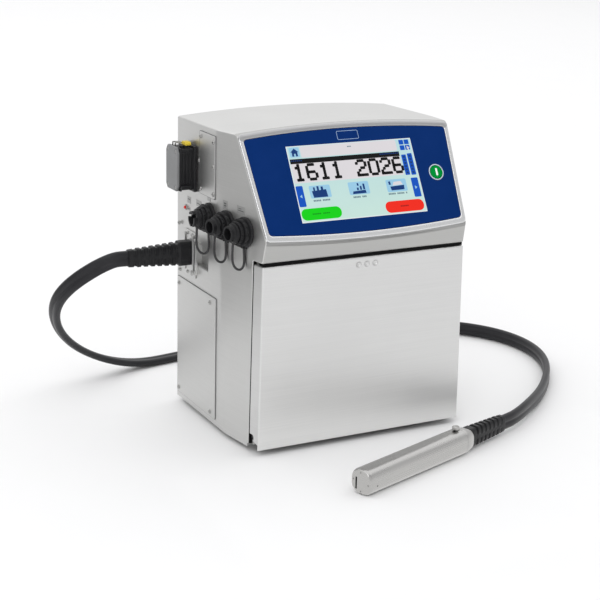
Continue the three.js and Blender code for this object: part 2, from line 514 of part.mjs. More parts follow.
// ------------------------------------------------------------ conduit
const ROUTE = [
  [-313.1, 143.0, 279.0], [-334.3, 143.0, 278.7], [-354.3, 148.4, 270.9], [-372.6, 159.1, 258.2], [-388.1, 174.3, 242.4], [-399.6, 192.9, 224.3],
  [-406.1, 213.2, 204.5], [-407.0, 234.0, 183.1], [-402.2, 254.6, 160.9], [-392.5, 274.3, 138.3], [-378.4, 293.0, 116.0], [-360.5, 310.3, 94.7],
  [-339.3, 326.1, 74.8], [-315.3, 340.4, 56.9], [-289.1, 353.0, 41.1], [-261.1, 363.9, 27.8], [-232.0, 373.2, 17.4], [-202.1, 380.9, 10.5],
  [-171.6, 387.3, 7.2], [-140.7, 392.8, 6.5], [-109.5, 397.7, 6.5], [-78.2, 402.1, 6.7], [-46.7, 406.1, 6.7], [-15.2, 409.6, 6.7],
  [16.4, 412.6, 6.6], [48.1, 415.0, 6.6], [79.7, 416.8, 6.5], [111.4, 417.7, 6.6], [143.0, 417.7, 6.9], [174.6, 416.7, 7.6],
  [206.1, 414.5, 8.7], [237.3, 410.9, 9.9], [268.2, 405.8, 11.1], [298.7, 399.1, 12.2], [328.5, 390.5, 12.8], [357.5, 379.9, 13.2],
  [385.3, 367.2, 13.3], [411.6, 352.2, 13.3], [436.1, 334.8, 13.3], [458.1, 315.2, 13.4], [477.3, 293.2, 13.5], [493.1, 269.1, 13.5],
  [505.2, 243.2, 13.5], [513.2, 215.8, 13.4], [516.9, 187.5, 13.4], [516.5, 158.7, 13.4], [512.0, 130.0, 13.4], [503.6, 101.7, 13.4],
  [491.8, 74.2, 13.4], [476.9, 47.7, 13.4], [459.5, 22.2, 13.3], [440.3, -2.3, 13.3], [419.5, -26.0, 13.3], [397.6, -48.7, 13.6],
  [374.6, -70.6, 14.6], [351.0, -91.6, 16.4], [326.8, -111.8, 18.4], [302.3, -130.8, 19.9], [277.3, -148.0, 20.4], [251.5, -162.2, 20.2],
  [224.4, -172.0, 20.0],
];
{
  const curve = new THREE.CatmullRomCurve3(ROUTE.map((p) => new THREE.Vector3(...p)), false, "centripetal");
  const L = curve.getLength();
  // roll: 1 where the band stands on edge, 0 where it lies flat
  const smooth = (x) => { const t = Math.min(1, Math.max(0, x)); return t * t * (3 - 2 * t); };
  const edge = (d) => (d < 700 ? 1 - smooth((d - 60) / 380) : smooth((d - 820) / 300));
  const section = roundRect(CONDUIT_W, CONDUIT_T, CONDUIT_T / 2 - 0.01, 2);
  const N = 60;
  const stations = [];
  for (let k = 0; k <= N; k++) {
    const p = curve.getPointAt(k / N);
    const t = curve.getTangentAt(k / N);
    const e = edge((k / N) * L) * (Math.PI / 2);
    const flatSide = new THREE.Vector3(-t.y, t.x, 0).normalize();
    const up = new THREE.Vector3().crossVectors(t, flatSide).normalize();
    if (up.z < 0) up.negate();
    const wide = flatSide.clone().multiplyScalar(Math.cos(e)).addScaledVector(up, Math.sin(e));
    const thin = new THREE.Vector3().crossVectors(wide, t).normalize();
    const half = Math.abs(wide.z) * (CONDUIT_W - CONDUIT_T) / 2 + CONDUIT_T / 2;
    if (p.z < half + 0.3) p.z = half + 0.3;
    stations.push((a, b) => p.clone().addScaledVector(wide, a).addScaledVector(thin, b));
  }
  piece("conduit", swept(section, stations), { color: 0x2d2d30, roughness: 0.6, metalness: 0 });
  root.userData.conduitLength = L;
}

// ------------------------------------------------------------ feet
for (const [n, x, y] of [["front_left", -150, -30], ["front_right", 150, -30], ["rear_left", -160, 168], ["rear_right", 160, 168]])
  piece("foot_" + n, turned([[0, 0], [11, 0], [13, 1.5], [13, Z0 - GAP], [0, Z0 - GAP]], [x, y, 0], [0, 0, 1], 20), rubber);

// ------------------------------------------------------------ inside the cabinet
const FLOOR = Z0 + T + GAP;
piece("ink_system_module",
  join(box(-160, 0, -10, 170, FLOOR, 236), box(-1, 166, -48, 90, FLOOR, 112), box(-120, -80, 30, 70, 235, 262), rod([-40, 60, 235], [-40, 60, 268], 18, 20)),
  { color: 0x4a4d52, roughness: 0.6, metalness: 0 });
const cartridge = (x0, look, name) =>
  piece(name, join(box(x0, x0 + 66, -47, 76, 112.3, 226), box(x0 + 8, x0 + 58, -41, 30, 225, 240), rod([x0 + 33, 50, 225], [x0 + 33, 50, 244], 13, 20)), look);
cartridge(12, { color: 0x202124, roughness: 0.4, metalness: 0 }, "ink_cartridge");
cartridge(90, { color: 0xd8dadc, roughness: 0.4, metalness: 0 }, "solvent_cartridge");
piece("bay_divider", between(box(-W / 2 + 3, W / 2 - 3, -71, 190, 318, 320), -T - 0.5), darkSteel);
piece("power_supply", box(-150, -40, 70, 170, 320.3, 366), darkSteel);
piece("control_board", join(box(-20, 150, -40, 120, 326, 327.8), box(20, 80, -10, 50, 327, 336), box(100, 130, 60, 100, 327, 348),
  ...[[-12, -32], [142, -32], [-12, 112], [142, 112]].map(([x, y]) => rod([x, y, 320.3], [x, y, 327], 3, 12))),
  { color: 0x1f5a3a, roughness: 0.5, metalness: 0 });

// The origin is under the middle of the cabinet and the printhead together, on the surface they stand on.
root.position.set(-ORIGIN[0], -ORIGIN[1], 0);
export default root;
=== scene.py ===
import math

import bmesh
import bpy
import numpy as np
from mathutils import Matrix, Vector


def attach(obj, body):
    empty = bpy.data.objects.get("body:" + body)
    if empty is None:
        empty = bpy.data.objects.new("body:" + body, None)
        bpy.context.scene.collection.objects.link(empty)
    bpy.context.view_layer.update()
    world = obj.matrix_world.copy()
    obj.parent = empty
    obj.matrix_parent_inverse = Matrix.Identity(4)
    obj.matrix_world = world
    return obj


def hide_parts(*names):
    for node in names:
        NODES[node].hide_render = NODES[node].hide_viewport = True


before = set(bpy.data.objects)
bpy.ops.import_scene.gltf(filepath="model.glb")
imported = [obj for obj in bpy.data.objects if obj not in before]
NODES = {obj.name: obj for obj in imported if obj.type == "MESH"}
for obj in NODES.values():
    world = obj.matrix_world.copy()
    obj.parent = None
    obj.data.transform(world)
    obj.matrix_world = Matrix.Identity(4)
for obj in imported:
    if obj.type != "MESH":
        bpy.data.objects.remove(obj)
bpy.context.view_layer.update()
scene = bpy.context.scene
coll = scene.collection

# The design numbers below are millimetres from the middle of the cabinet; this is their place in the frame.
OX, OY = 42.897, 49.367


def P(x, y, z):
    return Vector(((x + OX) / 1000, (y + OY) / 1000, z / 1000))


# ---------------------------------------------------------------- camera
YAW, PITCH, ROLL = 0.4816, 0.2462, 0.0228
fwd = Vector((math.sin(YAW) * math.cos(PITCH), math.cos(YAW) * math.cos(PITCH), -math.sin(PITCH)))
right0 = Vector((math.cos(YAW), -math.sin(YAW), 0))
up0 = right0.cross(fwd)
r2 = right0 * math.cos(ROLL) + up0 * math.sin(ROLL)
u2 = up0 * math.cos(ROLL) - right0 * math.sin(ROLL)
eye = P(-1142.573, -2051.489, 902.081)
cam_data = bpy.data.cameras.new("camera")
cam = bpy.data.objects.new("camera", cam_data)
coll.objects.link(cam)
cam_data.sensor_width = 36
cam_data.lens = 1475.6453 / 600 * 36
cam_data.shift_y = -0.1
cam_data.clip_start, cam_data.clip_end = 0.05, 50
cam.matrix_world = Matrix((
    (r2.x, u2.x, -fwd.x, eye.x), (r2.y, u2.y, -fwd.y, eye.y), (r2.z, u2.z, -fwd.z, eye.z), (0, 0, 0, 1)))
scene.camera = cam
scene.view_settings.view_transform = "Standard"
scene.view_settings.look = "None"


# ---------------------------------------------------------------- materials
def lin(r, g, b):
    return tuple((c / 255 / 12.92) if c / 255 <= 0.04045 else ((c / 255 + 0.055) / 1.055) ** 2.4 for c in (r, g, b))


class Mat:
    """A Principled material with a few helpers for its nodes."""

    def __init__(self, name, **sockets):
        self.m = bpy.data.materials.new(name)
        self.m.use_nodes = True
        self.nt = self.m.node_tree
        self.b = self.nt.nodes["Principled BSDF"]
        for k, v in sockets.items():
            self.b.inputs[k.replace("_", " ")].default_value = v
        self.tc = self.node("ShaderNodeTexCoord")
        self.co = self.tc.outputs["Object"]

    def node(self, kind, **props):
        n = self.nt.nodes.new(kind)
        for k, v in props.items():
            setattr(n, k, v)
        return n

    def link(self, a, b):
        self.nt.links.new(a, b)

    def mapped(self, scale, turn=0.0, src=None):
        n = self.node("ShaderNodeMapping")
        self.link(src or self.co, n.inputs["Vector"])
        if turn:  # the point is turned first, and then scaled along the turned axes
            r = self.node("ShaderNodeVectorRotate", rotation_type="Z_AXIS")
            self.link(src or self.co, r.inputs["Vector"])
            r.inputs["Angle"].default_value = -turn
            self.link(r.outputs["Vector"], n.inputs["Vector"])
        n.inputs["Scale"].default_value = scale
        return n.outputs["Vector"]

    def noise(self, vec, scale=1.0, detail=3.0, rough=0.5):
        n = self.node("ShaderNodeTexNoise")
        self.link(vec, n.inputs["Vector"])
        n.inputs["Scale"].default_value = scale
        n.inputs["Detail"].default_value = detail
        n.inputs["Roughness"].default_value = rough
        return n.outputs["Fac"]

    def math(self, op, a, b=None, c=None, clamp=False):
        n = self.node("ShaderNodeMath", operation=op, use_clamp=clamp)
        for i, v in enumerate((a, b, c)):
            if v is None:
                continue
            if isinstance(v, (int, float)):
                n.inputs[i].default_value = v
            else:
                self.link(v, n.inputs[i])
        return n.outputs["Value"]

    def ramp(self, fac, lo, hi, out0=0.0, out1=1.0):
        n = self.node("ShaderNodeMapRange")
        self.link(fac, n.inputs["Value"])
        for k, v in (("From Min", lo), ("From Max", hi), ("To Min", out0), ("To Max", out1)):
            n.inputs[k].default_value = v
        return n.outputs["Result"]

    def mix(self, fac, a, b):
        n = self.node("ShaderNodeMix", data_type="RGBA")
        self.link(fac, n.inputs["Factor"])
        for i, v in ((6, a), (7, b)):
            if isinstance(v, tuple):
                n.inputs[i].default_value = (*v, 1) if len(v) == 3 else v
            else:
                self.link(v, n.inputs[i])
        return n.outputs[2]

    def bump(self, height, strength, distance, normal=None):
        n = self.node("ShaderNodeBump")
        n.inputs["Strength"].default_value = strength
        n.inputs["Distance"].default_value = distance
        self.link(height, n.inputs["Height"])
        if normal is not None:
            self.link(normal, n.inputs["Normal"])
        return n.outputs["Normal"]


def steel(name, color=(0.645, 0.645, 0.635), rough=0.40, spread=0.08, cloud=0.06, bump=0.10, turn=0.0,
          axis="level", fine=1500.0):
    """Satin brushed stainless steel: fine streaks one way, broader bands, soft handling marks, a few scuffs."""
    s = Mat(name, Metallic=1.0)
    along = 5.0
    up = s.mapped((along, along, fine), turn)
    flat = s.mapped((along, fine, fine), turn) if axis == "x" else s.mapped((along, fine, along), turn)
    side = s.node("ShaderNodeSeparateXYZ")
    s.link(s.tc.outputs["Normal"], side.inputs[0])
    level = s.ramp(s.math("ABSOLUTE", side.outputs[2]), 0.6, 0.8)
    a, b = s.noise(up, 1.0, 3.0, 0.6), s.noise(flat, 1.0, 3.0, 0.6)
    streak = s.math("ADD", s.math("MULTIPLY", a, s.math("SUBTRACT", 1.0, level)), s.math("MULTIPLY", b, level))
    band = s.noise(s.mapped((3.0, 3.0, 150.0), turn), 1.0, 4.0, 0.65)
    soft = s.noise(s.co, 7.0, 3.0, 0.55)
    marks = s.ramp(s.noise(s.mapped((38.0, 38.0, 60.0), turn), 1.0, 6.0, 0.7), 0.60, 0.78)
    r = s.math("ADD", rough - spread / 2 - cloud / 2, s.math("MULTIPLY", streak, spread * 0.55))
    r = s.math("ADD", r, s.math("MULTIPLY", band, spread * 0.45))
    r = s.math("ADD", r, s.math("MULTIPLY", soft, cloud))
    r = s.math("ADD", r, s.math("MULTIPLY", marks, 0.06))
    s.link(r, s.b.inputs["Roughness"])
    tone = s.math("ADD", s.math("MULTIPLY", streak, 0.5), s.math("ADD", s.math("MULTIPLY", band, 0.2), s.math("MULTIPLY", soft, 0.3)))
    dark = tuple(c * 0.94 for c in color)
    light = tuple(min(1.0, c * 1.05) for c in color)
    s.link(s.mix(s.ramp(tone, 0.3, 0.7), dark, light), s.b.inputs["Base Color"])
    n = s.bump(streak, bump, 0.00006)
    n = s.bump(soft, 0.05, 0.0006, n)
    s.link(n, s.b.inputs["Normal"])
    return s.m


def plastic(name, rgb, rough=0.5, grain=1400.0, bump=0.12, var=0.12, spec=0.5, coat=0.0, scratch=0.0):
    """Moulded plastic or rubber: fine grain, faint colour and gloss variation, dust in the grain."""
    c = lin(*rgb)
    s = Mat(name, Specular_IOR_Level=spec, Coat_Weight=coat, Coat_Roughness=0.12)
    g = s.noise(s.co, grain, 2.0, 0.5)
    v = s.noise(s.co, 22.0, 4.0, 0.6)
    s.link(s.mix(s.ramp(v, 0.3, 0.7), tuple(x * (1 - var) for x in c), tuple(min(1, x * (1 + var) + 0.0015) for x in c)),
           s.b.inputs["Base Color"])
    r = s.math("ADD", rough - 0.08, s.math("ADD", s.math("MULTIPLY", v, 0.10), s.math("MULTIPLY", g, 0.06)))
    s.link(r, s.b.inputs["Roughness"])
    n = s.bump(g, bump, 0.00012)
    if scratch:
        n = s.bump(s.ramp(s.noise(s.mapped((20.0, 20.0, 700.0)), 1.0, 3.0, 0.6), 0.55, 0.7), scratch, 0.00005, n)
    s.link(n, s.b.inputs["Normal"])
    return s.m


def lit(name, rgb, strength=0.92, vary=0.05, to=None):
    """A lit part of the display, with its fine dot grid and a little unevenness."""
    c, d = lin(*rgb), lin(*(to or rgb))
    s = Mat(name, Roughness=0.3, Specular_IOR_Level=0.06, Emission_Strength=strength)
    grid = s.node("ShaderNodeTexChecker")
    s.link(s.co, grid.inputs["Vector"])
    grid.inputs["Scale"].default_value = 2600.0
    soft = s.noise(s.co, 30.0, 3.0, 0.5)
    f = s.math("ADD", s.math("MULTIPLY", grid.outputs["Fac"], 0.3), s.math("MULTIPLY", soft, 0.7))
    lo, hi = tuple(x * (1 - vary) for x in c), tuple(min(1, x * (1 + vary)) for x in c)
    col = s.mix(f, lo, hi)
    if to:  # top to bottom of the display
        z = s.node("ShaderNodeSeparateXYZ")
        s.link(s.co, z.inputs[0])
        col = s.mix(s.ramp(z.outputs[2], 0.374, 0.481), s.mix(f, tuple(x * (1 - vary) for x in d), d), col)
    s.link(col, s.b.inputs["Emission Color"])
    s.b.inputs["Base Color"].default_value = (0.008, 0.008, 0.008, 1)
    s.link(s.ramp(soft, 0.3, 0.7, 0.24, 0.34), s.b.inputs["Roughness"])
    return s.m


HEAD_TURN = math.radians(19.15)
M = {
    "stainless": steel("stainless_satin"),
    "door": steel("stainless_door", color=(0.70, 0.70, 0.695), rough=0.42, spread=0.035, bump=0.035),
    # painted shade: a darker copy of the shell stainless, painted on the chin below the bezel
    "lip": steel("stainless_lip_painted_shade", color=(0.48, 0.48, 0.47), rough=0.36),
    # painted shade: a darker copy of the shell stainless, painted on the rolled top edge of the slanted face
    "roll": steel("stainless_roll_painted_shade", color=(0.44, 0.44, 0.43), rough=0.40),
    # painted shade: the darkest copy of the shell stainless, painted on the crease step under the bezel
    "fold": steel("stainless_fold_painted_shade", color=(0.34, 0.34, 0.335), rough=0.30),
    # painted shade: a darker copy of the stainless for the recess pan behind the conduit entry
    "recess": steel("stainless_recess_painted_shade", color=(0.52, 0.52, 0.515), rough=0.46),
    "head": steel("stainless_printhead", color=(0.47, 0.465, 0.455), rough=0.27, spread=0.12, cloud=0.14, turn=-HEAD_TURN, axis="x", bump=0.07),
    "dark": steel("stainless_dark", color=(0.50, 0.50, 0.49), rough=0.42),
    "zinc": steel("zinc_plate", color=(0.56, 0.57, 0.58), rough=0.40, cloud=0.18),
    "rim": steel("bright_rim", color=(0.74, 0.745, 0.75), rough=0.26, spread=0.05, cloud=0.04, bump=0.04),
    # painted shade: near-black steel painted on the inside faces of the printhead cover
    "bore": steel("printhead_inside_painted_shade", color=(0.10, 0.10, 0.10), rough=0.55),
    # painted shade: a darker copy of the bezel steel, painted on the bezel's top run
    "rim_top": steel("bezel_top_painted_shade", color=(0.47, 0.472, 0.475), rough=0.28, spread=0.05, cloud=0.04, bump=0.04),
    "screw": steel("screw_steel", color=(0.43, 0.43, 0.42), rough=0.30, fine=3000.0),
    "panel": plastic("panel_blue", (0, 43, 106), rough=0.5, grain=900, bump=0.05, var=0.05, spec=0.05),
    "mark": plastic("panel_mark", (150, 176, 208), rough=0.4, spec=0.3),
    "black": plastic("black_plastic", (32, 32, 34), rough=0.42, bump=0.14, spec=0.24),
    "rubber": plastic("rubber_black", (29, 29, 31), rough=0.38, grain=1000, bump=0.12, spec=0.24),
    # black for the door gasket, and painted shade on the strips that fill the door's edge gaps
    "gasket_and_gap_shade": plastic("black_gasket_and_gap_shade", (7, 7, 8), rough=0.75, spec=0.12),
    # painted shade: grey for the shadow lines round the side plates and between the clamp strips
    "gap_shade_line": plastic("grey_gap_shade_line", (128, 128, 129), rough=0.7, spec=0.2),
    "sheath": plastic("conduit_sheath", (37, 37, 40), rough=0.36, grain=700, bump=0.06, spec=0.26, scratch=0.06),
    "grey": plastic("grey_cover", (122, 123, 124), rough=0.42, bump=0.16),
    "module": plastic("module_grey", (98, 102, 108), rough=0.5, var=0.08, spec=0.35),
    "cart_black": plastic("cartridge_black", (36, 37, 41), rough=0.36),
    "cart_white": plastic("cartridge_white", (222, 224, 226), rough=0.38, var=0.04),
    "yellow": plastic("tag_yellow", (226, 198, 50), rough=0.45, var=0.06),
    "red": plastic("lamp_red", (226, 44, 34), rough=0.2, coat=0.4, var=0.05),
    "green": plastic("button_green", (0, 140, 54), rough=0.6, grain=500, bump=0.03, spec=0.0, var=0.05),
    "white": plastic("mark_white", (246, 248, 248), rough=0.35, var=0.02),
    "ring": steel("button_ring", color=(0.62, 0.70, 0.80), rough=0.25, spread=0.05, bump=0.03),
    "board": plastic("board_green", (24, 92, 58), rough=0.45, spec=0.6, var=0.2),
    "brass": steel("brass", color=(0.72, 0.55, 0.27), rough=0.32),
    "hole": plastic("dark_recess", (8, 8, 9), rough=0.8, spec=0.1),
    "plate": steel("marking_plate", color=(0.50, 0.50, 0.495), rough=0.48),
    "cap_cord": plastic("cap_cord", (44, 44, 46), rough=0.45, grain=1200, bump=0.1),
    "label": plastic("blank_label", (176, 179, 182), rough=0.5, var=0.03, bump=0.04),
    "ink": plastic("marking_ink", (96, 98, 98), rough=0.6, spec=0.2),
}


# ---------------------------------------------------------------- mesh helpers
def obj_from(name, verts, faces, mat, weights=None):
    """A mesh from millimetre points. weights: {(i, j): mm of bevel}."""
    me = bpy.data.meshes.new(name)
    bm = bmesh.new()
    vs = [bm.verts.new(P(*v)) for v in verts]
    for f in faces:
        try:
            bm.faces.new([vs[i] for i in f])
        except ValueError:
            pass
    bm.normal_update()
    if weights:
        lay = bm.edges.layers.float.new("bevel_weight_edge")
        for (i, j), w in weights.items():
            e = bm.edges.get((vs[i], vs[j]))
            if e:
                e[lay] = w
    bm.to_mesh(me)
    bm.free()
    o = bpy.data.objects.new(name, me)
    coll.objects.link(o)
    if mat is not None:
        me.materials.append(mat)
    return o


def outward(o):
    bm = bmesh.new()
    bm.from_mesh(o.data)
    bmesh.ops.remove_doubles(bm, verts=bm.verts, dist=1e-7)
    bmesh.ops.recalc_face_normals(bm, faces=bm.faces)
    if bm.calc_volume(signed=True) < 0:
        bmesh.ops.reverse_faces(bm, faces=bm.faces)
    bm.to_mesh(o.data)
    bm.free()
    return o


def mod(o, kind, **props):
    m = o.modifiers.new(kind.lower(), kind)
    for k, v in props.items():
        setattr(m, k, v)
    return m


def applied(o):
    """The object's modifiers become its mesh."""
    dg = bpy.context.evaluated_depsgraph_get()
    me = bpy.data.meshes.new_from_object(o.evaluated_get(dg), preserve_all_data_layers=True, depsgraph=dg)
    old = o.data
    o.modifiers.clear()
    o.data = me
    if old.users == 0:
        bpy.data.meshes.remove(old)
    return o


def cutaway(o, cutters, op="DIFFERENCE", keep=False):
    for c in cutters:
        mod(o, "BOOLEAN", operation=op, object=c, solver="EXACT")
    applied(o)
    if not keep:
        for c in cutters:
            bpy.data.objects.remove(c)
    return o


def shade(o, angle=32.0, wn=True):
    o.data.shade_smooth()
    o.data.set_sharp_from_angle(angle=math.radians(angle))
    if wn:
        mod(o, "WEIGHTED_NORMAL", keep_sharp=True, weight=70)
    return o


def put(o, body="cabinet", gone=()):
    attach(o, body)
    if gone:
        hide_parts(*gone)
    return o


def block(x0, x1, y0, y1, z0, z1):
    v = [(x, y, z) for x in (x0, x1) for y in (y0, y1) for z in (z0, z1)]
    f = [(0, 1, 3, 2), (4, 6, 7, 5), (0, 4, 5, 1), (2, 3, 7, 6), (0, 2, 6, 4), (1, 5, 7, 3)]
    return v, f


def solid_box(name, b, mat=None, bevel=0.0, segs=2):
    o = outward(obj_from(name, *block(*b), mat))
    if bevel:
        mod(o, "BEVEL", width=bevel / 1000, segments=segs, limit_method="ANGLE", angle_limit=math.radians(30))
        applied(o)
    return o


def merge(name, parts, mat=None):
    """Several meshes as one object, keeping their materials."""
    me = bpy.data.meshes.new(name)
    bm = bmesh.new()
    mats = []
    for o in parts:
        remap = {}
        for i, m in enumerate(o.data.materials):
            if m not in mats:
                mats.append(m)
            remap[i] = mats.index(m)
        n = len(bm.faces)
        tmp = o.data.copy()
        tmp.transform(o.matrix_world)
        bm.from_mesh(tmp)
        bpy.data.meshes.remove(tmp)
        bm.faces.ensure_lookup_table()
        for f in bm.faces[n:]:
            f.material_index = remap.get(f.material_index, 0)
    bm.to_mesh(me)
    bm.free()
    for m in mats:
        me.materials.append(m)
    if mat is not None:
        me.materials.clear()
        me.materials.append(mat)
    for o in parts:
        bpy.data.objects.remove(o)
    o = bpy.data.objects.new(name, me)
    coll.objects.link(o)
    return o


def rings_mesh(name, rings, mat, closed=True, caps=True, loop=False):
    """Quads between rings of equal length. loop joins the last ring to the first."""
    n = len(rings[0])
    verts = [p for r in rings for p in r]
    faces = []
    m = len(rings)
    for k in range(m if loop else m - 1):
        a, b = k * n, ((k + 1) % m) * n
        for i in range(n if closed else n - 1):
            j = (i + 1) % n
            faces.append((a + i, a + j, b + j, b + i))
    if caps and not loop:
        faces.append(tuple(range(n - 1, -1, -1)))
        faces.append(tuple((m - 1) * n + i for i in range(n)))
    return outward(obj_from(name, verts, faces, mat))


def basis(direction):
    z = Vector(direction).normalized()
    ref = Vector((0, 0, 1)) if abs(z.z) < 0.9 else Vector((1, 0, 0))
    x = ref.cross(z).normalized()
    return x, z.cross(x), z


def fillet(profile, r, n=3):
    """Rounds the corners of a profile of points."""
    pts = [Vector(p) for p in profile]
    out = [tuple(pts[0])]
    for a, b, c in zip(pts, pts[1:], pts[2:]):
        u, v = a - b, c - b
        d = min(r, u.length * 0.45, v.length * 0.45)
        if d < 1e-4 or u.angle(v) > math.radians(172):
            out.append(tuple(b))
            continue
        p, q = b + u.normalized() * d, b + v.normalized() * d
        for k in range(n + 1):
            t = k / n
            out.append(tuple(p * (1 - t) ** 2 + b * 2 * t * (1 - t) + q * t * t))
    out.append(tuple(pts[-1]))
    return out


def lathe(name, profile, at, direction, mat, n=64, wave=None):
    """A turned piece. profile: (radius, height) in mm. wave(angle, r, h) changes the radius."""
    X, Y, Z = basis(direction)
    A = Vector(at)
    verts, faces, rows = [], [], []
    for r, h in profile:
        if r < 1e-6:
            rows.append([len(verts)])
            verts.append(tuple(A + Z * h))
            continue
        row = []
        for i in range(n):
            t = 2 * math.pi * i / n
            k = wave(t, r, h) if wave else r
            row.append(len(verts))
            verts.append(tuple(A + Z * h + X * (k * math.cos(t)) + Y * (k * math.sin(t))))
        rows.append(row)
    for a, b in zip(rows, rows[1:]):
        for i in range(n):
            j = (i + 1) % n
            if len(a) == 1 and len(b) == 1:
                continue
            if len(a) == 1:
                faces.append((a[0], b[j], b[i]))
            elif len(b) == 1:
                faces.append((a[i], a[j], b[0]))
            else:
                faces.append((a[i], a[j], b[j], b[i]))
    return outward(obj_from(name, verts, faces, mat))


def rod(name, a, b, r, mat=None, n=32):
    A, B = Vector(a), Vector(b)
    L = (B - A).length
    return lathe(name, [(0, 0), (r, 0), (r, L), (0, L)], a, B - A, mat, n)


def rrect(w, h, r, n=6, side=4):
    """A rounded rectangle's outline, with points along its sides too."""
    pts = []
    cs = [(1, 1, 0), (-1, 1, 90), (-1, -1, 180), (1, -1, 270)]
    for q, (sx, sy, a0) in enumerate(cs):
        arc = [(sx * (w / 2 - r) + r * math.cos(math.radians(a0 + 90 * i / n)),
                sy * (h / 2 - r) + r * math.sin(math.radians(a0 + 90 * i / n))) for i in range(n + 1)]
        pts += arc
        nx, ny, na = cs[(q + 1) % 4]
        nxt = (nx * (w / 2 - r) + r * math.cos(math.radians(na)), ny * (h / 2 - r) + r * math.sin(math.radians(na)))
        for k in range(1, side):
            t = k / side
            pts.append((arc[-1][0] * (1 - t) + nxt[0] * t, arc[-1][1] * (1 - t) + nxt[1] * t))
    return pts


def screw_head(name, at, direction, r=3.3, h=1.9, mat=None):
    """A button-head screw with a hexagon socket."""
    prof = fillet([(0, 0), (r, 0), (r, h * 0.35), (r * 0.72, h * 0.9), (r * 0.5, h), (0, h)], 0.35 * r, 4)
    o = lathe(name, prof, at, direction, mat or M["screw"], 40)
    X, Y, Z = basis(direction)
    A = Vector(at)
    v = []
    for k in (h * 0.35, h * 1.4):
        v += [tuple(A + Z * k + X * (r * 0.44 * math.cos(math.pi / 3 * i)) + Y * (r * 0.44 * math.sin(math.pi / 3 * i))) for i in range(6)]
    f = [tuple(range(5, -1, -1)), tuple(range(6, 12))] + [(i, (i + 1) % 6, 6 + (i + 1) % 6, 6 + i) for i in range(6)]
    cut = outward(obj_from("cut", v, f, None))
    cutaway(o, [cut])
    return shade(o, 30)


# ---------------------------------------------------------------- conduit and its boots
ROUTE = [
    (-313.1, 143.0, 279.0), (-334.3, 143.0, 278.7), (-354.3, 148.4, 270.9), (-372.6, 159.1, 258.2), (-388.1, 174.3, 242.4), (-399.6, 192.9, 224.3),
    (-406.1, 213.2, 204.5), (-407.0, 234.0, 183.1), (-402.2, 254.6, 160.9), (-392.5, 274.3, 138.3), (-378.4, 293.0, 116.0), (-360.5, 310.3, 94.7),
    (-339.3, 326.1, 74.8), (-315.3, 340.4, 56.9), (-289.1, 353.0, 41.1), (-261.1, 363.9, 27.8), (-232.0, 373.2, 17.4), (-202.1, 380.9, 10.5),
    (-171.6, 387.3, 7.2), (-140.7, 392.8, 6.5), (-109.5, 397.7, 6.5), (-78.2, 402.1, 6.7), (-46.7, 406.1, 6.7), (-15.2, 409.6, 6.7),
    (16.4, 412.6, 6.6), (48.1, 415.0, 6.6), (79.7, 416.8, 6.5), (111.4, 417.7, 6.6), (143.0, 417.7, 6.9), (174.6, 416.7, 7.6),
    (206.1, 414.5, 8.7), (237.3, 410.9, 9.9), (268.2, 405.8, 11.1), (298.7, 399.1, 12.2), (328.5, 390.5, 12.8), (357.5, 379.9, 13.2),
    (385.3, 367.2, 13.3), (411.6, 352.2, 13.3), (436.1, 334.8, 13.3), (458.1, 315.2, 13.4), (477.3, 293.2, 13.5), (493.1, 269.1, 13.5),
    (505.2, 243.2, 13.5), (513.2, 215.8, 13.4), (516.9, 187.5, 13.4), (516.5, 158.7, 13.4), (512.0, 130.0, 13.4), (503.6, 101.7, 13.4),
    (491.8, 74.2, 13.4), (476.9, 47.7, 13.4), (459.5, 22.2, 13.3), (440.3, -2.3, 13.3), (419.5, -26.0, 13.3), (397.6, -48.7, 13.6),
    (374.6, -70.6, 14.6), (351.0, -91.6, 16.4), (326.8, -111.8, 18.4), (302.3, -130.8, 19.9), (277.3, -148.0, 20.4), (251.5, -162.2, 20.2),
    (224.4, -172.0, 20.0),
]
COND_W, COND_T = 26.0, 12.5


def spline(points, per=14):
    """Centripetal Catmull-Rom through the points."""
    p = np.array(points, float)
    p = np.vstack([2 * p[0] - p[1], p, 2 * p[-1] - p[-2]])
    out = []
    for i in range(1, len(p) - 2):
        p0, p1, p2, p3 = p[i - 1], p[i], p[i + 1], p[i + 2]
        d0, d1, d2 = (max(1e-4, np.linalg.norm(b - a) ** 0.5) for a, b in ((p0, p1), (p1, p2), (p2, p3)))
        t1 = ((p1 - p0) / d0 - (p2 - p0) / (d0 + d1) + (p2 - p1) / d1) * d1
        t2 = ((p2 - p1) / d1 - (p3 - p1) / (d1 + d2) + (p3 - p2) / d2) * d1
        for k in range(per):
            t = k / per
            out.append(p1 * (2 * t**3 - 3 * t**2 + 1) + t1 * (t**3 - 2 * t**2 + t) + p2 * (-2 * t**3 + 3 * t**2) + t2 * (t**3 - t**2))
    out.append(p[-2])
    return np.array(out)


def even(line, n):
    d = np.r_[0, np.cumsum(np.linalg.norm(np.diff(line, axis=0), axis=1))]
    s = np.linspace(0, d[-1], n + 1)
    return np.c_[[np.interp(s, d, line[:, k]) for k in range(3)]].T, s


def smooth(x):
    t = min(1.0, max(0.0, x))
    return t * t * (3 - 2 * t)


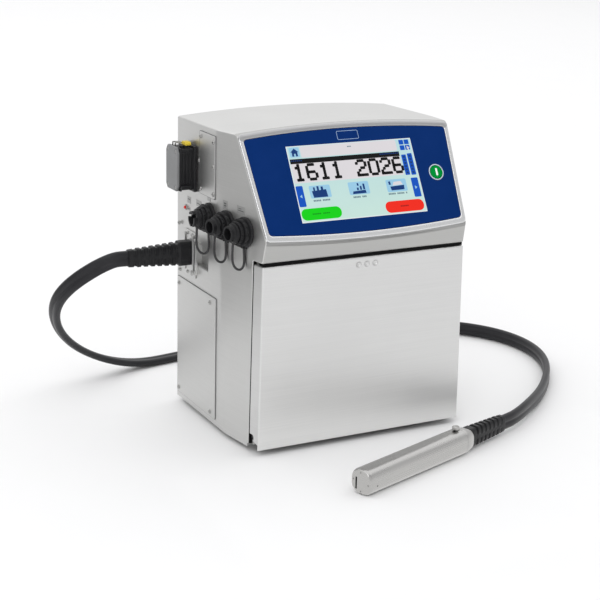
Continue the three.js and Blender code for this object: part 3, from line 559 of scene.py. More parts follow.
line, dist = even(spline(ROUTE), 300)
CONDUIT_LENGTH = float(dist[-1])
tang = np.gradient(line, axis=0)
tang /= np.linalg.norm(tang, axis=1)[:, None]
rings, centre = [], []
sec = rrect(COND_W, COND_T, COND_T / 2 - 0.05, 7, 16)
for k in range(len(line)):
    p, t, d = Vector(line[k]), Vector(tang[k]), dist[k]
    e = (1 - smooth((d - 60) / 380) if d < 700 else smooth((d - 820) / 300)) * math.pi / 2
    flat = Vector((-t.y, t.x, 0)).normalized()
    up = t.cross(flat).normalized()
    if up.z < 0:
        up.negate()
    wide = flat * math.cos(e) + up * math.sin(e)
    thin = wide.cross(t).normalized()
    half = abs(wide.z) * (COND_W - COND_T) / 2 + COND_T / 2
    p.z = max(p.z, half + 0.3)
    centre.append(P(*p))
    # the sheath has a shallow valley along each flat
    ring = []
    for a, b in sec:
        f = 1 - abs(a) / (COND_W / 2)
        dip = 1.5 * math.exp(-((a / 2.7) ** 2))
        ring.append(tuple(p + wide * a + thin * (b * (1 - 0.0 * f) - math.copysign(dip, b) * (abs(b) > 3))))
    rings.append(ring)
conduit = rings_mesh("conduit_sheath", rings, M["sheath"])
shade(conduit, 40, wn=False)
put(conduit, "cabinet", ["conduit"])


def boot(name, length, w0, h0, w1, h1, place, blk, mat, node, n=6):
    """A strain relief: a square block, then two rows of ribs either side of a smooth spine, tapering to the conduit."""
    unit = rrect(2, 2, 0.55, 6, 10)
    s0 = blk[2] + 6
    pitch = (length - s0 - 10) / n
    stations = [(0, blk[0], blk[1], 0, 0), (0.6, blk[0] + 0.0, blk[1] + 0.0, 0, 0), (blk[2] - 0.6, blk[0], blk[1], 0, 0),
                (blk[2], blk[0] - 0.8, blk[1] - 0.8, 0, 0), (blk[2] + 1.5, w0 * 0.92, h0 * 0.92, 0, 0)]
    stations[0] = (0, blk[0] - 0.8, blk[1] - 0.8, 0, 0)

    def dims(s):
        f = min(1, max(0, (s - s0) / (pitch * (n - 1))))
        return w0 + (w1 - w0) * f, h0 + (h1 - h0) * f

    for i in range(n):
        a = s0 + i * pitch
        for ds, g in ((0, 1), (0.5, 0.55), (0.9, 0.08), (1.4, 0), (pitch * 0.52, 0), (pitch * 0.52 + 0.5, 0.08), (pitch * 0.52 + 0.9, 0.55), (pitch * 0.52 + 1.4, 1), (pitch * 0.86, 1)):
            w, h = dims(a + ds)
            stations.append((a + ds, w, h, g, 1))
    w, h = dims(length)
    stations += [(length - 9.5, w, h, 1, 1), (length - 8.5, w * 0.93, h * 0.95, 0, 0), (length - 1, w * 0.9, h * 0.92, 0, 0), (length, w * 0.86, h * 0.89, 0, 0)]
    stations.sort(key=lambda q: q[0])
    rr = []
    for s, w, h, g, ribbed in stations:
        ring = []
        for a, b in unit:
            k = 1.0
            if ribbed:
                row = smooth((abs(b) - 0.20) / 0.10)
                k = 1 - 0.15 * g * row
                if abs(b) < 0.95:
                    k -= 0.05 * (1 - row)
            ring.append(tuple(place(s, a * w / 2 * k, b * h / 2 * (1 - 0.13 * g if ribbed else 1))))
        rr.append(ring)
    o = rings_mesh(name, rr, mat)
    shade(o, 38)
    return put(o, "cabinet", [node])


boot("conduit_boot_cabinet", 110, 26, 38, 19, 31, lambda s, a, b: (-202.6 - s, 143 + a, 279 + b), (28, 41, 22), M["rubber"], "cabinet_boot")

HEAD_C, HEAD_S = math.cos(HEAD_TURN), math.sin(HEAD_TURN)


def H(s, a, b):
    """A point on the printhead: s along it from the nozzle end, a across, b up from its axis."""
    return (-109.6 + s * HEAD_C - a * HEAD_S, -288 + s * HEAD_S + a * HEAD_C, 20 + b)


boot("conduit_boot_printhead", 96, 22, 33, 18, 30, lambda s, a, b: H(257.3 + s, a, b), (24, 33, 12), M["rubber"], "printhead_boot")

# ---------------------------------------------------------------- cabinet shell
down = Vector((0, -89, -152)).normalized()
out = Vector((0, down.z, -down.y)).normalized()
SLANT = math.hypot(89, 152)


def S(u, v, w):
    """A point on the slanted face: u along X, v down the slope, w out of it."""
    q = Vector((u, -13, 502)) + down * v + out * w
    return (q.x, q.y, q.z)


def arch(x):
    return 1 - (x / 200) ** 2


def half(y, z):
    return min(200.0, 200 + 0.141 * y - 0.0125 * (z - 8))


verts, faces, weights = [], [], {}
NX = 32


def row(fn):
    h = 200.0
    for _ in range(8):
        h = half(*fn(h))
    ids = []
    for j in range(NX + 1):
        x = h * (2 * j / NX - 1)
        y, z = fn(x)
        ids.append(len(verts))
        verts.append((x, y, z))
    return ids


def section(x):
    """The cabinet's section at x, as (y, z) points from the rear top to the front bottom, its corners rolled."""
    h = arch(x)
    pts = [(201, 499 + 9 * h, 0, 0), (43.7, 499 + 9 * h + 3 * 157.3 / (214 - 5.27 * h), 0, 0), (-13 + 5.274 * h, 502 + 9 * h, 6.0, 4),
           (-102 + down.y * 8 * h, 350 + down.z * 8 * h, 3.6 - 0.6 * h, 4), (-101.13 + 0.5 * h, 346.1 - 8.4 * h, 0.2 + 3.2 * h, 4),
           (-94, 314, 3.6, 3), (-76, 314, 0, 0), (-76, 14, 0, 0)]
    res = []
    for k, (y, z, r, n) in enumerate(pts):
        if not r:
            res.append((y, z))
            continue
        b_, u, v = Vector((y, z)), Vector(pts[k - 1][:2]), Vector(pts[k + 1][:2])
        q0, q1 = b_ + (u - b_).normalized() * r, b_ + (v - b_).normalized() * r
        res += [tuple(q0 * (1 - t) ** 2 + b_ * 2 * t * (1 - t) + q1 * t * t) for t in [i / n for i in range(n + 1)]]
    return res


rows = [row(lambda x, k=k: section(x)[k]) for k in range(len(section(0.0)) - 2)]
for a, b in zip(rows, rows[1:]):
    for j in range(NX):
        faces.append((a[j], a[j + 1], b[j + 1], b[j]))
# below the head the front wall is narrower than the sides, which end further back: the door's side folds lap there
REB_Y, REB_X = -67.5, 5.2


def wall(z):
    ids = []
    for j in range(NX + 1):
        ids.append(len(verts))
        verts.append(((half(REB_Y, z) - REB_X) * (2 * j / NX - 1), -76, z))
    return ids


w_top, w_bot = wall(314), wall(14)
for a, b in ((rows[-1], w_top), (w_top, w_bot)):
    for j in range(NX):
        faces.append((a[j], a[j + 1], b[j + 1], b[j]))
for e in (0, NX):
    sgn = -1 if e == 0 else 1
    q = len(verts)
    verts += [(sgn * 200, 0, 8), (sgn * 200, 201, 8), (sgn * half(-64, 14), -64, 14), (sgn * half(-64, 8), -64, 8)]
    verts += [(sgn * half(REB_Y, 314), REB_Y, 314), (sgn * half(REB_Y, 14), REB_Y, 14),
              (sgn * (half(REB_Y, 314) - REB_X), REB_Y, 314), (sgn * (half(REB_Y, 14) - REB_X), REB_Y, 14)]
    ends = [r[e] for r in rows]
    side = [(ends[0], ends[1], q, q + 1), tuple(ends[1:]) + (q + 4, q + 5, q + 2, q + 3, q),
            (w_top[e], q + 6, q + 4, ends[-1]), (w_top[e], w_bot[e], q + 7, q + 6), (q + 6, q + 7, q + 5, q + 4)]
    faces += side if e == 0 else [f[::-1] for f in side]
    weights[(ends[1], q)] = 1.0
    for i, j in zip(ends[:-1], ends[1:]):
        weights[(i, j)] = 0.5
    weights[(ends[-1], q + 4)] = 0.3
    weights[(q + 4, q + 5)] = 0.25
shell = obj_from("cabinet_skin", verts, faces, M["stainless"], weights)
shell.data.materials.append(M["lip"])
shell.data.materials.append(M["fold"])
shell.data.materials.append(M["roll"])
# painted shade: faces of rows 2 to 4 (the rolled top edge) take the roll steel, the chin takes the lip steel, and the
# crease step under the bezel takes the fold steel, each a darker copy of the stainless
for k_ in range(1, len(rows) - 1):
    for j_ in range(NX):
        f_ = shell.data.polygons[k_ * NX + j_]
        zc = f_.center.z
        if 2 <= k_ <= 4:
            f_.material_index = 3
        if f_.center.y < P(0, -90, 0).y and zc < P(0, 0, 353).z:
            xm = (f_.center.x - P(0, 0, 0).x) * 1000
            h_ = arch(xm)
            lo = P(0, 0, 346.1 - 8.4 * h_ - 2.4 * h_).z
            f_.material_index = 2 if (zc > lo and h_ > 0.18) else 1
bm = bmesh.new()
bm.from_mesh(shell.data)
bmesh.ops.recalc_face_normals(bm, faces=bm.faces)
bm.faces.ensure_lookup_table()
if bm.faces[0].normal.z < 0:
    bmesh.ops.reverse_faces(bm, faces=bm.faces)
bm.to_mesh(shell.data)
bm.free()
mod(shell, "BEVEL", width=0.0055, segments=4, limit_method="WEIGHT", use_clamp_overlap=False)
mod(shell, "SOLIDIFY", thickness=0.0025, offset=-1, use_even_offset=True, use_rim=True)
applied(shell)


def face_outline(d, corner=7.0, n=28, m=7):
    """The slanted face's outline, moved in by d, with rounded corners, as (u, v) points."""
    def top(u):
        return -(9 / 0.863) * (1 - (u / 192) ** 2) + d * 1.34

    def low(u):
        return SLANT + 8 * (1 - (u / 181) ** 2) - d * 1.34

    def side(v):
        return 191.4 - v / SLANT * 10.4 - d

    def bez(p, q, r):
        return [tuple(p[k] * (1 - t) ** 2 + q[k] * 2 * t * (1 - t) + r[k] * t * t for k in (0, 1)) for t in [i / m for i in range(1, m)]]

    ut, ul = side(d) - corner, side(SLANT - d) - corner
    vt, vl = top(ut), low(ul)
    pts = [(-ut + 2 * ut * i / n, top(-ut + 2 * ut * i / n)) for i in range(n + 1)]
    p, r = (ut, vt), (side(vt + corner), vt + corner)
    c = (side(vt), vt + 0.4)
    pts += bez(p, c, r) + [r]
    r2_, p2 = (side(vl - corner), vl - corner), (ul, vl)
    pts += [r2_] + bez(r2_, (side(vl), vl - 0.4), p2)
    pts += [(ul - 2 * ul * i / n, low(ul - 2 * ul * i / n)) for i in range(n + 1)]
    pts += bez((-ul, vl), (-side(vl), vl - 0.4), (-side(vl - corner), vl - corner)) + [(-side(vl - corner), vl - corner)]
    pts += [(-side(vt + corner), vt + corner)] + bez((-side(vt + corner), vt + corner), (-side(vt), vt + 0.4), (-ut, vt))
    return pts


def slab(name, outline, w0, w1, mat=None, bevel=0.0, segs=2):
    n = len(outline)
    v = [S(u, q, w0) for u, q in outline] + [S(u, q, w1) for u, q in outline]
    f = [tuple(range(n - 1, -1, -1)), tuple(range(n, 2 * n))] + [(i, (i + 1) % n, n + (i + 1) % n, n + i) for i in range(n)]
    o = outward(obj_from(name, v, f, mat))
    if bevel:
        mod(o, "BEVEL", width=bevel / 1000, segments=segs, limit_method="ANGLE", angle_limit=math.radians(40))
        applied(o)
    return o


def disc(u, v, r, n=48):
    return [(u + r * math.cos(2 * math.pi * i / n), v + r * math.sin(2 * math.pi * i / n)) for i in range(n)]


def rebate(sg, deep, y0, y1, z0, z1, name="cut", mat=None, skin=-3.0):
    """A block that follows the leaning side, from skin to deep below its surface."""
    v8 = [(sg * (half(y, z) - k), y, z) for k in (deep, skin) for y in (y0, y1) for z in (z0, z1)]
    return outward(obj_from(name, v8, [(0, 1, 3, 2), (4, 6, 7, 5), (0, 4, 5, 1), (2, 3, 7, 6), (0, 2, 6, 4), (1, 5, 7, 3)], mat))


PORTS = [((-200, 66, 355), (-1, 0, 0)),
         ((-(200 + 0.141 * 7 - 0.0125 * 347), 7, 355), (-1, -0.141, 0.0125)),
         ((-(200 - 0.141 * 45 - 0.0125 * 347), -45, 355), (-1, -0.141, 0.0125))]
cuts = [
    solid_box("cut", (-172, 172, -80, -70, 41, 290)),
    solid_box("cut", (-180, -146, -80, -70, 10, 34.5)),
    solid_box("cut", (146, 180, -80, -70, 10, 34.5)),
    slab("cut", face_outline(7.7), -12, 8),

    solid_box("cut", (-206, -192, 72, 124, 262, 302)),
    rod("cut", (-206, 165, 351), (-194, 165, 351), 3.3),
    solid_box("cut", (-206, -194, 126, 162, 394, 454)),
]
for (x, y, z), _ in PORTS:
    cuts.append(rod("cut", (x - 12, y, z), (x + 12, y, z), 13))
cutaway(shell, cuts)
shade(shell, 30)
put(shell, "cabinet", ["cabinet_shell"])

# ---------------------------------------------------------------- operator head
prof = fillet([(0.25, -1.0), (0.25, 0.9), (1.2, 2.1), (4.2, 2.5), (6.9, 2.2), (7.65, 1.2), (7.7, 0.35), (4.0, 0.25), (1.4, -1.0)], 0.9, 3)
rim = rings_mesh("operator_bezel", [[S(u, v, w) for u, v in face_outline(d, 8.0 - 0.15 * d)] for d, w in prof], M["rim"], loop=True)
# painted shade: the bezel's top run takes the darker copy of its steel
rim.data.materials.append(M["rim_top"])
for f_ in rim.data.polygons:
    if f_.center.z > P(*S(0, 11, 0)).z:
        f_.material_index = 1
shade(rim, 45)
put(rim, "cabinet", ["head_bezel"])

BU, BV = 147, 87
panel = slab("operator_panel", face_outline(8.0, 6.0), -1.6, 1.4, M["panel"], 0.5, 3)
cutaway(panel, [slab("cut", [(-113.9, 24.6), (113.9, 24.6), (113.9, 151.4), (-113.9, 151.4)], -4, 4), slab("cut", disc(BU, BV, 14.4), -4, 4)])
shade(panel, 30)
put(panel, "cabinet", ["display_panel"])

screen = slab("screen_glass", [(-113.5, 25), (113.5, 25), (113.5, 151), (-113.5, 151)], -1.6, 1.0, lit("screen_white", (236, 244, 246)), 0.25, 2)
shade(screen, 30)
put(screen, "cabinet", ["touchscreen"])


def tiles(name, rects, mat, w=1.06, depth=0.3):
    """Flat rounded tiles on the display: (u0, u1, v0, v1, corner)."""
    v, f = [], []
    for u0, u1, v0, v1, c in rects:
        base = len(v)
        c = min(c, (u1 - u0) / 2 - 0.01, (v1 - v0) / 2 - 0.01)
        pts = rrect(u1 - u0, v1 - v0, c, 5, 1) if c > 0.05 else [((u1 - u0) / 2, (v1 - v0) / 2), (-(u1 - u0) / 2, (v1 - v0) / 2), (-(u1 - u0) / 2, -(v1 - v0) / 2), ((u1 - u0) / 2, -(v1 - v0) / 2)]
        pts = [((u0 + u1) / 2 + a, (v0 + v1) / 2 + b) for a, b in pts]
        n = len(pts)
        v += [S(a, b, w - depth) for a, b in pts] + [S(a, b, w) for a, b in pts]
        f += [tuple(base + i for i in range(n - 1, -1, -1)), tuple(base + n + i for i in range(n))]
        f += [(base + i, base + (i + 1) % n, base + n + (i + 1) % n, base + n + i) for i in range(n)]
    o = obj_from(name, v, f, mat)
    bm_ = bmesh.new()
    bm_.from_mesh(o.data)
    bmesh.ops.recalc_face_normals(bm_, faces=bm_.faces)
    bm_.to_mesh(o.data)
    bm_.free()
    return put(o, "cabinet")


def polys(name, shapes, mat, w=1.2, depth=0.3):
    v, f = [], []
    for pts in shapes:
        base, n = len(v), len(pts)
        v += [S(a, b, w - depth) for a, b in pts] + [S(a, b, w) for a, b in pts]
        f += [tuple(base + i for i in range(n - 1, -1, -1)), tuple(base + n + i for i in range(n))]
        f += [(base + i, base + (i + 1) % n, base + n + (i + 1) % n, base + n + i) for i in range(n)]
    o = obj_from(name, v, f, mat)
    bm_ = bmesh.new()
    bm_.from_mesh(o.data)
    bmesh.ops.recalc_face_normals(bm_, faces=bm_.faces)
    bm_.to_mesh(o.data)
    bm_.free()
    return put(o, "cabinet")


L_bg = lit("screen_ground", (193, 228, 232), to=(208, 237, 228))
L_pale = lit("screen_pale", (228, 224, 228))
L_black = lit("screen_black", (6, 6, 9), vary=0.3)
L_blue = lit("screen_blue", (6, 84, 196))
L_deep = lit("screen_deep_blue", (12, 58, 122))
L_sky = lit("screen_sky", (158, 208, 236))
L_green = lit("screen_green", (6, 216, 12))
L_red = lit("screen_red", (250, 42, 24))
L_grey = lit("screen_grey", (112, 136, 146))
L_dgreen = lit("screen_dark_green", (0, 140, 16))
L_dred = lit("screen_dark_red", (150, 24, 22))
tiles("screen_field", [(-112.2, 112.2, 26.2, 149.8, 0)], L_bg, 1.10)
tiles("screen_header_keys", [(-109.3, -91.8, 27.4, 43.6, 2.0), (-89.5, -52.5, 92.3, 113, 2.4), (-20, 17, 91.8, 113, 2.4), (49, 86.4, 93, 114, 2.4)], L_sky, 1.18)
tiles("screen_title_bar", [(-90, 84.5, 26.6, 45.2, 2.6), (-111.6, 86.4, 50, 86.5, 0)], L_pale, 1.18)
tiles("screen_black_strip", [(-111.6, 86.4, 46.7, 54.6, 0)], L_black, 1.26)
tiles("screen_title_dashes", [(-5.5, -3.6, 31.2, 33.0, 0.3), (-3.0, -0.6, 31.2, 33.0, 0.3), (0, 1.6, 31.2, 33.0, 0.3)], L_grey, 1.26)
tiles("screen_strip_dashes", [(-110 + 3.4 * i, -108 + 3.4 * i, 48.6, 50.6, 0) for i in range(6)] + [(50 + 3.6 * i, 52.4 + 3.6 * i, 48.2, 50.2, 0) for i in range(10)], L_deep, 1.32)
# side keys, with the steps of their markings
tiles("screen_side_keys", [(89.3, 98, 52.7, 87.6, 1.2), (100.3, 109.3, 51.2, 88.2, 1.2), (-112.2, -100, 91, 125.3, 1.8), (96.5, 109.3, 93, 125.6, 1.8)]
      + [(90.4, 99.0, 27.4, 35.4, 1), (100.4, 109, 27.4, 35.4, 1), (90.4, 99.0, 36.9, 45.0, 1), (100.4, 109, 36.9, 45.0, 1)], L_blue, 1.2)
tiles("screen_key_marks", [(91.7, 95.7, 55 + 5.4 * i, 58.2 + 5.4 * i, 0.3) for i in range(6)] + [(102.8, 106.8, 54 + 5.6 * i, 57.4 + 5.6 * i, 0.3) for i in range(6)], L_deep, 1.28)
polys("screen_key_arrows", [[(-108, 108.2), (-104, 105.2), (-104, 111.2)], [(105, 109.4), (101, 106.4), (101, 112.4)]], L_sky, 1.28)
# house and pointer
polys("screen_house", [[(-107.6, 35.4), (-100.5, 29.0), (-93.4, 35.4)], [(-105.4, 35.4), (-95.6, 35.4), (-95.6, 42.2), (-99, 42.2), (-99, 37.8), (-102, 37.8), (-102, 42.2), (-105.4, 42.2)]], L_deep, 1.26)
polys("screen_pointer", [[(103.4, 38.0), (108.4, 41.6), (105.9, 42.2), (106.9, 45.0), (105.2, 45.3), (104.4, 42.8), (103.0, 44.0)]], L_pale, 1.34)
# three pictures: a bottle line, a row of pack sizes, a reel
polys("screen_picture_1", [[(-84, 112), (-85.5, 101), (-60, 99.5), (-59, 112)], [(-82.4, 100.8), (-82.4, 95), (-79.4, 95), (-79.4, 100.8)], [(-76, 100.6), (-76, 93.6), (-72.4, 93.6), (-72.4, 100.6)], [(-69, 100.2), (-69, 94.6), (-65, 94.6), (-65, 100.2)]], L_deep, 1.26)
polys("screen_picture_2", [[(-14.5, 111.8), (-13, 107.4), (9.6, 106.2), (10.4, 111.6)], [(-5.4, 106), (-5.4, 101.6), (-2.2, 101.6), (-2.2, 106)], [(0.4, 105.8), (0.4, 99.2), (3.6, 99.2), (3.6, 105.8)], [(6, 105.4), (6, 95.8), (9.4, 95.8), (9.4, 105.4)], [(-4, 98.6), (-4, 94.2), (-1, 94.2), (-1, 98.6)]], L_deep, 1.26)
polys("screen_picture_3", [[(56.6, 111.4), (55.6, 104.8), (81.4, 103.6), (80.6, 111.2)], [(54, 101.8), (53.4, 96.2), (57.2, 96), (57.6, 101.6)]], L_deep, 1.26)
polys("screen_picture_3_light", [[(60.2, 103.4), (63.4, 97.4), (76.2, 96.8), (79.4, 102.6)]], L_pale, 1.26)
tiles("screen_captions", [(a + 2.7 * i, a + 2.1 + 2.7 * i, 115.6, 118.4, 0.2) for a, n in ((-86, 11), (-15, 9), (49.5, 13)) for i in range(n) if i % 6 != 5], L_grey, 1.2)
tiles("screen_start_key", [(-112.3, -41.6, 128.8, 147.8, 9)], L_green, 1.3)
tiles("screen_stop_key", [(38.3, 109.6, 129.4, 148.4, 9)], L_red, 1.3)
tiles("screen_start_dashes", [(-93 + 3.1 * i, -90.7 + 3.1 * i, 137.2, 139.2, 0.2) for i in range(10) if i != 5], L_dgreen, 1.36)
tiles("screen_stop_dashes", [(66 + 3.1 * i, 68.3 + 3.1 * i, 137.6, 139.8, 0.2) for i in range(5)], L_dred, 1.36)
# the date that is being printed, in 5 x 7 dots
FONT = {
    "0": "01110 10001 10001 10001 10001 10001 01110", "1": "00100 01100 00100 00100 00100 00100 01110",
    "2": "01110 10001 00001 00110 01000 10000 11111", "6": "01110 10000 10000 11110 10001 10001 01110",
    " ": "00000 00000 00000 00000 00000 00000 00000",
}
dots = []
for i, ch in enumerate("1611 2026"):
    for r, bits in enumerate(FONT[ch].split()):
        for c, bit in enumerate(bits):
            if bit == "1":
                u0, v0 = -109.6 + i * 22.35 + c * 3.85, 55.4 + r * 4.0
                dots.append((u0 - 0.65, u0 + 4.5, v0 - 0.45, v0 + 4.45, 1.5))
tiles("screen_date_dots", dots, L_black, 1.3)
# a blank outlined badge over the screen
ba, bb = rrect(39, 15, 2.4, 5, 2), rrect(37.4, 13.4, 1.7, 5, 2)
badge = rings_mesh("panel_badge_outline", [[S(a, 12.6 + b, w) for a, b in q] for q, w in ((ba, 1.35), (ba, 1.62), (bb, 1.62), (bb, 1.35))], M["mark"], loop=True)
put(shade(badge, 30, wn=False), "cabinet")

b0 = S(BU, BV, 0)
ring = lathe("power_button_collar", fillet([(11.5, -8), (14.0, -8), (14.0, 1.5), (13.4, 2.4), (12.2, 2.4), (11.6, 1.7), (11.5, -8)], 0.5, 3), b0, out, M["ring"], 72)
put(shade(ring, 35), "cabinet", ["power_button_ring"])
button = lathe("power_button_face", fillet([(0, -4), (11, -4), (11, 2.0), (10.4, 2.6), (7, 2.9), (0, 3.0)], 0.5, 3), b0, out, M["green"], 72)
put(shade(button, 35), "power_button", ["power_button"])
bar = slab("power_button_bar", [(BU + a, BV + b) for a, b in rrect(3.4, 12.5, 1.2, 5, 1)], 2.6, 3.15, M["white"], 0.12, 2)
put(shade(bar, 30), "power_button")

# ---------------------------------------------------------------- front door
dv, df, dw = [], [], {}
YD, YB = -95.0, -71.0


def dpt(s, y, z):
    dv.append((s * half(y, z), y, z))
    return len(dv) - 1


fl = {(s, z): dpt(s, YD, z) for s in (-1, 1) for z in (10, 309)}
bk = {(s, z): dpt(s, YB, z) for s in (-1, 1) for z in (10, 309)}
df = [(fl[-1, 10], fl[1, 10], fl[1, 309], fl[-1, 309]),
      (bk[-1, 10], fl[-1, 10], fl[-1, 309], bk[-1, 309]),
      (fl[1, 10], bk[1, 10], bk[1, 309], fl[1, 309]),
      (fl[-1, 309], fl[1, 309], bk[1, 309], bk[-1, 309])]
for s in (-1, 1):
    dw[(fl[s, 10], fl[s, 309])] = 2.6 / 6
    dw[(fl[s, 309], bk[s, 309])] = 2.2 / 6
dw[(fl[-1, 309], fl[1, 309])] = 3.0 / 6
door = obj_from("door_skin", dv, df, M["door"], dw)
bm = bmesh.new()
bm.from_mesh(door.data)
bmesh.ops.recalc_face_normals(bm, faces=bm.faces)
bm.faces.ensure_lookup_table()
if bm.faces[0].normal.y > 0:
    bmesh.ops.reverse_faces(bm, faces=bm.faces)
bm.to_mesh(door.data)
bm.free()
mod(door, "BEVEL", width=0.006, segments=4, limit_method="WEIGHT")
mod(door, "SOLIDIFY", thickness=0.002, offset=-1, use_even_offset=True, use_rim=True)
applied(door)
low = [(YD + 2, 18.6), (-77.8, 22.5), (-66, 22.5), (-66, 4), (YD + 2, 4)]
lowcut = outward(obj_from("cut", [(x, y, z) for x in (-220, 220) for y, z in low],
                          [tuple(range(5)), tuple(range(9, 4, -1))] + [(i, (i + 1) % 5, 5 + (i + 1) % 5, 5 + i) for i in range(5)], None))
dents = []
for x in (-14, 1, 16):
    dents.append(rod("cut", (x, YD - 3, 297), (x, YD + 5, 297), 4.99, None, 48))
for sg in (-1, 1):
    dents.append(rod("cut", (sg * 180, -77, 27), (sg * 196, -77, 27), 5.2, None, 40))
    dents.append(solid_box("cut", (min(sg * 180, sg * 196), max(sg * 180, sg * 196), -77, -66, 21.9, 32.1)))
cutaway(door, [lowcut] + dents)
mod(door, "BEVEL", width=0.00025, segments=1, limit_method="ANGLE", angle_limit=math.radians(50))
applied(door)
shade(door, 32)
put(door, "front_door", ["front_door"])
bowls = []
for x in (-14, 1, 16):
    inn = [(5.4 * math.sin(t), -2.2 + 5.4 * math.cos(t)) for t in [math.radians(65.9) * i / 9 for i in range(10)]]
    out_ = [(6.2 * math.sin(t), -2.2 + 6.2 * math.cos(t)) for t in [math.radians(52.2) * (1 - i / 7) for i in range(8)]]
    inn[0], out_[-1] = (0, 3.2), (0, 4.0)
    bowls.append(lathe("b", inn + out_, (x, YD, 297), (0, 1, 0), M["door"], 48))
put(shade(merge("door_finger_dimples", bowls), 35), "front_door")
lugs = []
for s in (-1, 1):
    a = min(s * 158, s * 166)
    knuckle = rod("k", (a, -77, 27), (a + 8, -77, 27), 5.0, M["dark"], 40)
    arm = solid_box("k", (a, a + 8, -94, -77, 22.4, 32), M["dark"], 0.8)
    cutaway(arm, [rod("cut", (a - 1, -77, 27), (a + 9, -77, 27), 2.4)])
    cutaway(knuckle, [rod("cut", (a - 1, -77, 27), (a + 9, -77, 27), 2.4)])
    lugs += [knuckle, arm]
put(shade(merge("door_hinge_lugs", lugs), 30), "front_door")
# a stiffening fold behind the door, seen when it is open
stiff = solid_box("door_inner_stiffener", (-150, 150, -92.9, -88.5, 150, 156), M["door"], 0.8)
put(shade(stiff, 30), "front_door")

# ---------------------------------------------------------------- ports, caps, lanyards
for i, (at, dr) in enumerate(PORTS):
    n = i + 1
    d = Vector(dr).normalized()
    base = Vector(at) + d * 0.3
    b0_ = tuple(base)
    sock = lathe("port_%d_flange" % n, fillet([(0, 0), (24, 0), (24, 3.6), (22.6, 4.2), (19.4, 5.4), (19, 8), (15, 8), (15, 9.2), (14.4, 9.8), (15, 10.4), (15, 11.4), (14.4, 12), (15, 12.6), (15, 16), (0, 16)], 0.5, 2),
                 b0_, d, M["black"], 72, wave=lambda t, r, h: r - (0.7 * (0.5 + 0.5 * math.cos(8 * t)) ** 2 if r > 23 else 0))
    put(shade(sock, 30), "cabinet", ["port_socket_%d" % n])
    cp = fillet([(0, 18.5), (15.6, 18.5), (15.6, 8.4), (21.6, 8.4), (22.6, 9.2), (22.6, 12.6), (21.6, 13.4), (17.4, 13.6), (17.0, 14.6), (18.8, 15.2), (19.0, 18.6), (18.2, 19.4),
                 (14.6, 19.8), (14.2, 21.0), (16.2, 21.6), (16.0, 24.0), (13.2, 25.2), (12.4, 26.0), (12.1, 29.0), (12.9, 29.6), (12.7, 33), (9.4, 33), (9.0, 21), (0, 21)], 0.3, 2)
    cap = lathe("dust_cap_body_%d" % n, cp, b0_, d, M["rubber"], 96,
                wave=lambda t, r, h: r - (1.3 * (0.5 + 0.5 * math.cos(12 * t)) ** 2 if (21.8 < r and 8.5 < h < 13.5) else 0.0) - (0.9 * max(0.0, math.cos(16 * t)) ** 3 if (18.1 < r < 19.2 and 15 < h < 20) else 0.0))
    if n == 1:  # its end has slots
        X, Y, Z = basis(d)
        sl = []
        for k in range(3):
            t = math.pi / 3 * (2 * k + 0.6)
            c = base + d * 31.2 + X * (10.8 * math.cos(t)) + Y * (10.8 * math.sin(t))
            o = solid_box("cut", (-3.0, 3.0, -3.2, 3.2, -3.4, 3.4))
            rot = Matrix.Rotation(t, 4, d)
            fr = Matrix((X, Y, Z)).transposed().to_4x4()
            o.data.transform(Matrix.Translation(-P(0, 0, 0)))
            o.data.transform(Matrix.Translation(P(*c)) @ rot @ fr)
            sl.append(o)
        cutaway(cap, sl)
    put(shade(cap, 32), "dust_cap_%d" % n, ["dust_cap_%d" % n])
    # lanyard: a loop that hangs from under the flange to under the cap
    loop = []
    for k in range(19):
        a = math.pi * k / 18
        q = base + d * (12.7 - (10.2 + 3.0 * math.sin(a)) * math.cos(a))
        q.y -= 1.5 * math.sin(2 * a)
        q.z += -25 + 8.6 * (1 - math.cos(a)) / 2 - 38 * max(0.0, math.sin(a)) ** 0.62 + (-1 if k == 0 else 1 if k == 18 else 0)
        loop.append(tuple(q))
    ln, _ = even(spline(loop, 10), 90)
    tg = np.gradient(ln, axis=0)
    rr = []
    for p_, t_ in zip(ln, tg):
        t_ = Vector(t_).normalized()
        up_ = Vector((0, 1, 0)).cross(t_).normalized()
        bb_ = t_.cross(up_)
        rr.append([tuple(Vector(p_) + up_ * (1.9 * math.cos(2 * math.pi * q / 14)) + bb_ * (1.9 * math.sin(2 * math.pi * q / 14))) for q in range(14)])
    lan = rings_mesh("cap_cord_%d" % n, rr, M["cap_cord"])
    put(shade(lan, 50, wn=False), "cabinet", ["cap_lanyard_%d" % n])
    # the tab where the lanyard is held, under the flange
    tab = solid_box("port_tab_%d" % n, (-3.2, 3.2, -1.6, 1.6, -5, 5), M["black"], 0.8)
    X, Y, Z = basis(d)
    fr = Matrix((X, Y, Z)).transposed().to_4x4()
    tab.data.transform(Matrix.Translation(-P(0, 0, 0)))
    tab.data.transform(Matrix.Translation(P(*(base + d * 2.4 + Vector((0, 0, -24.5))))) @ fr @ Matrix.Rotation(math.pi / 2, 4, "Y"))
    put(shade(tab, 30), "cabinet")

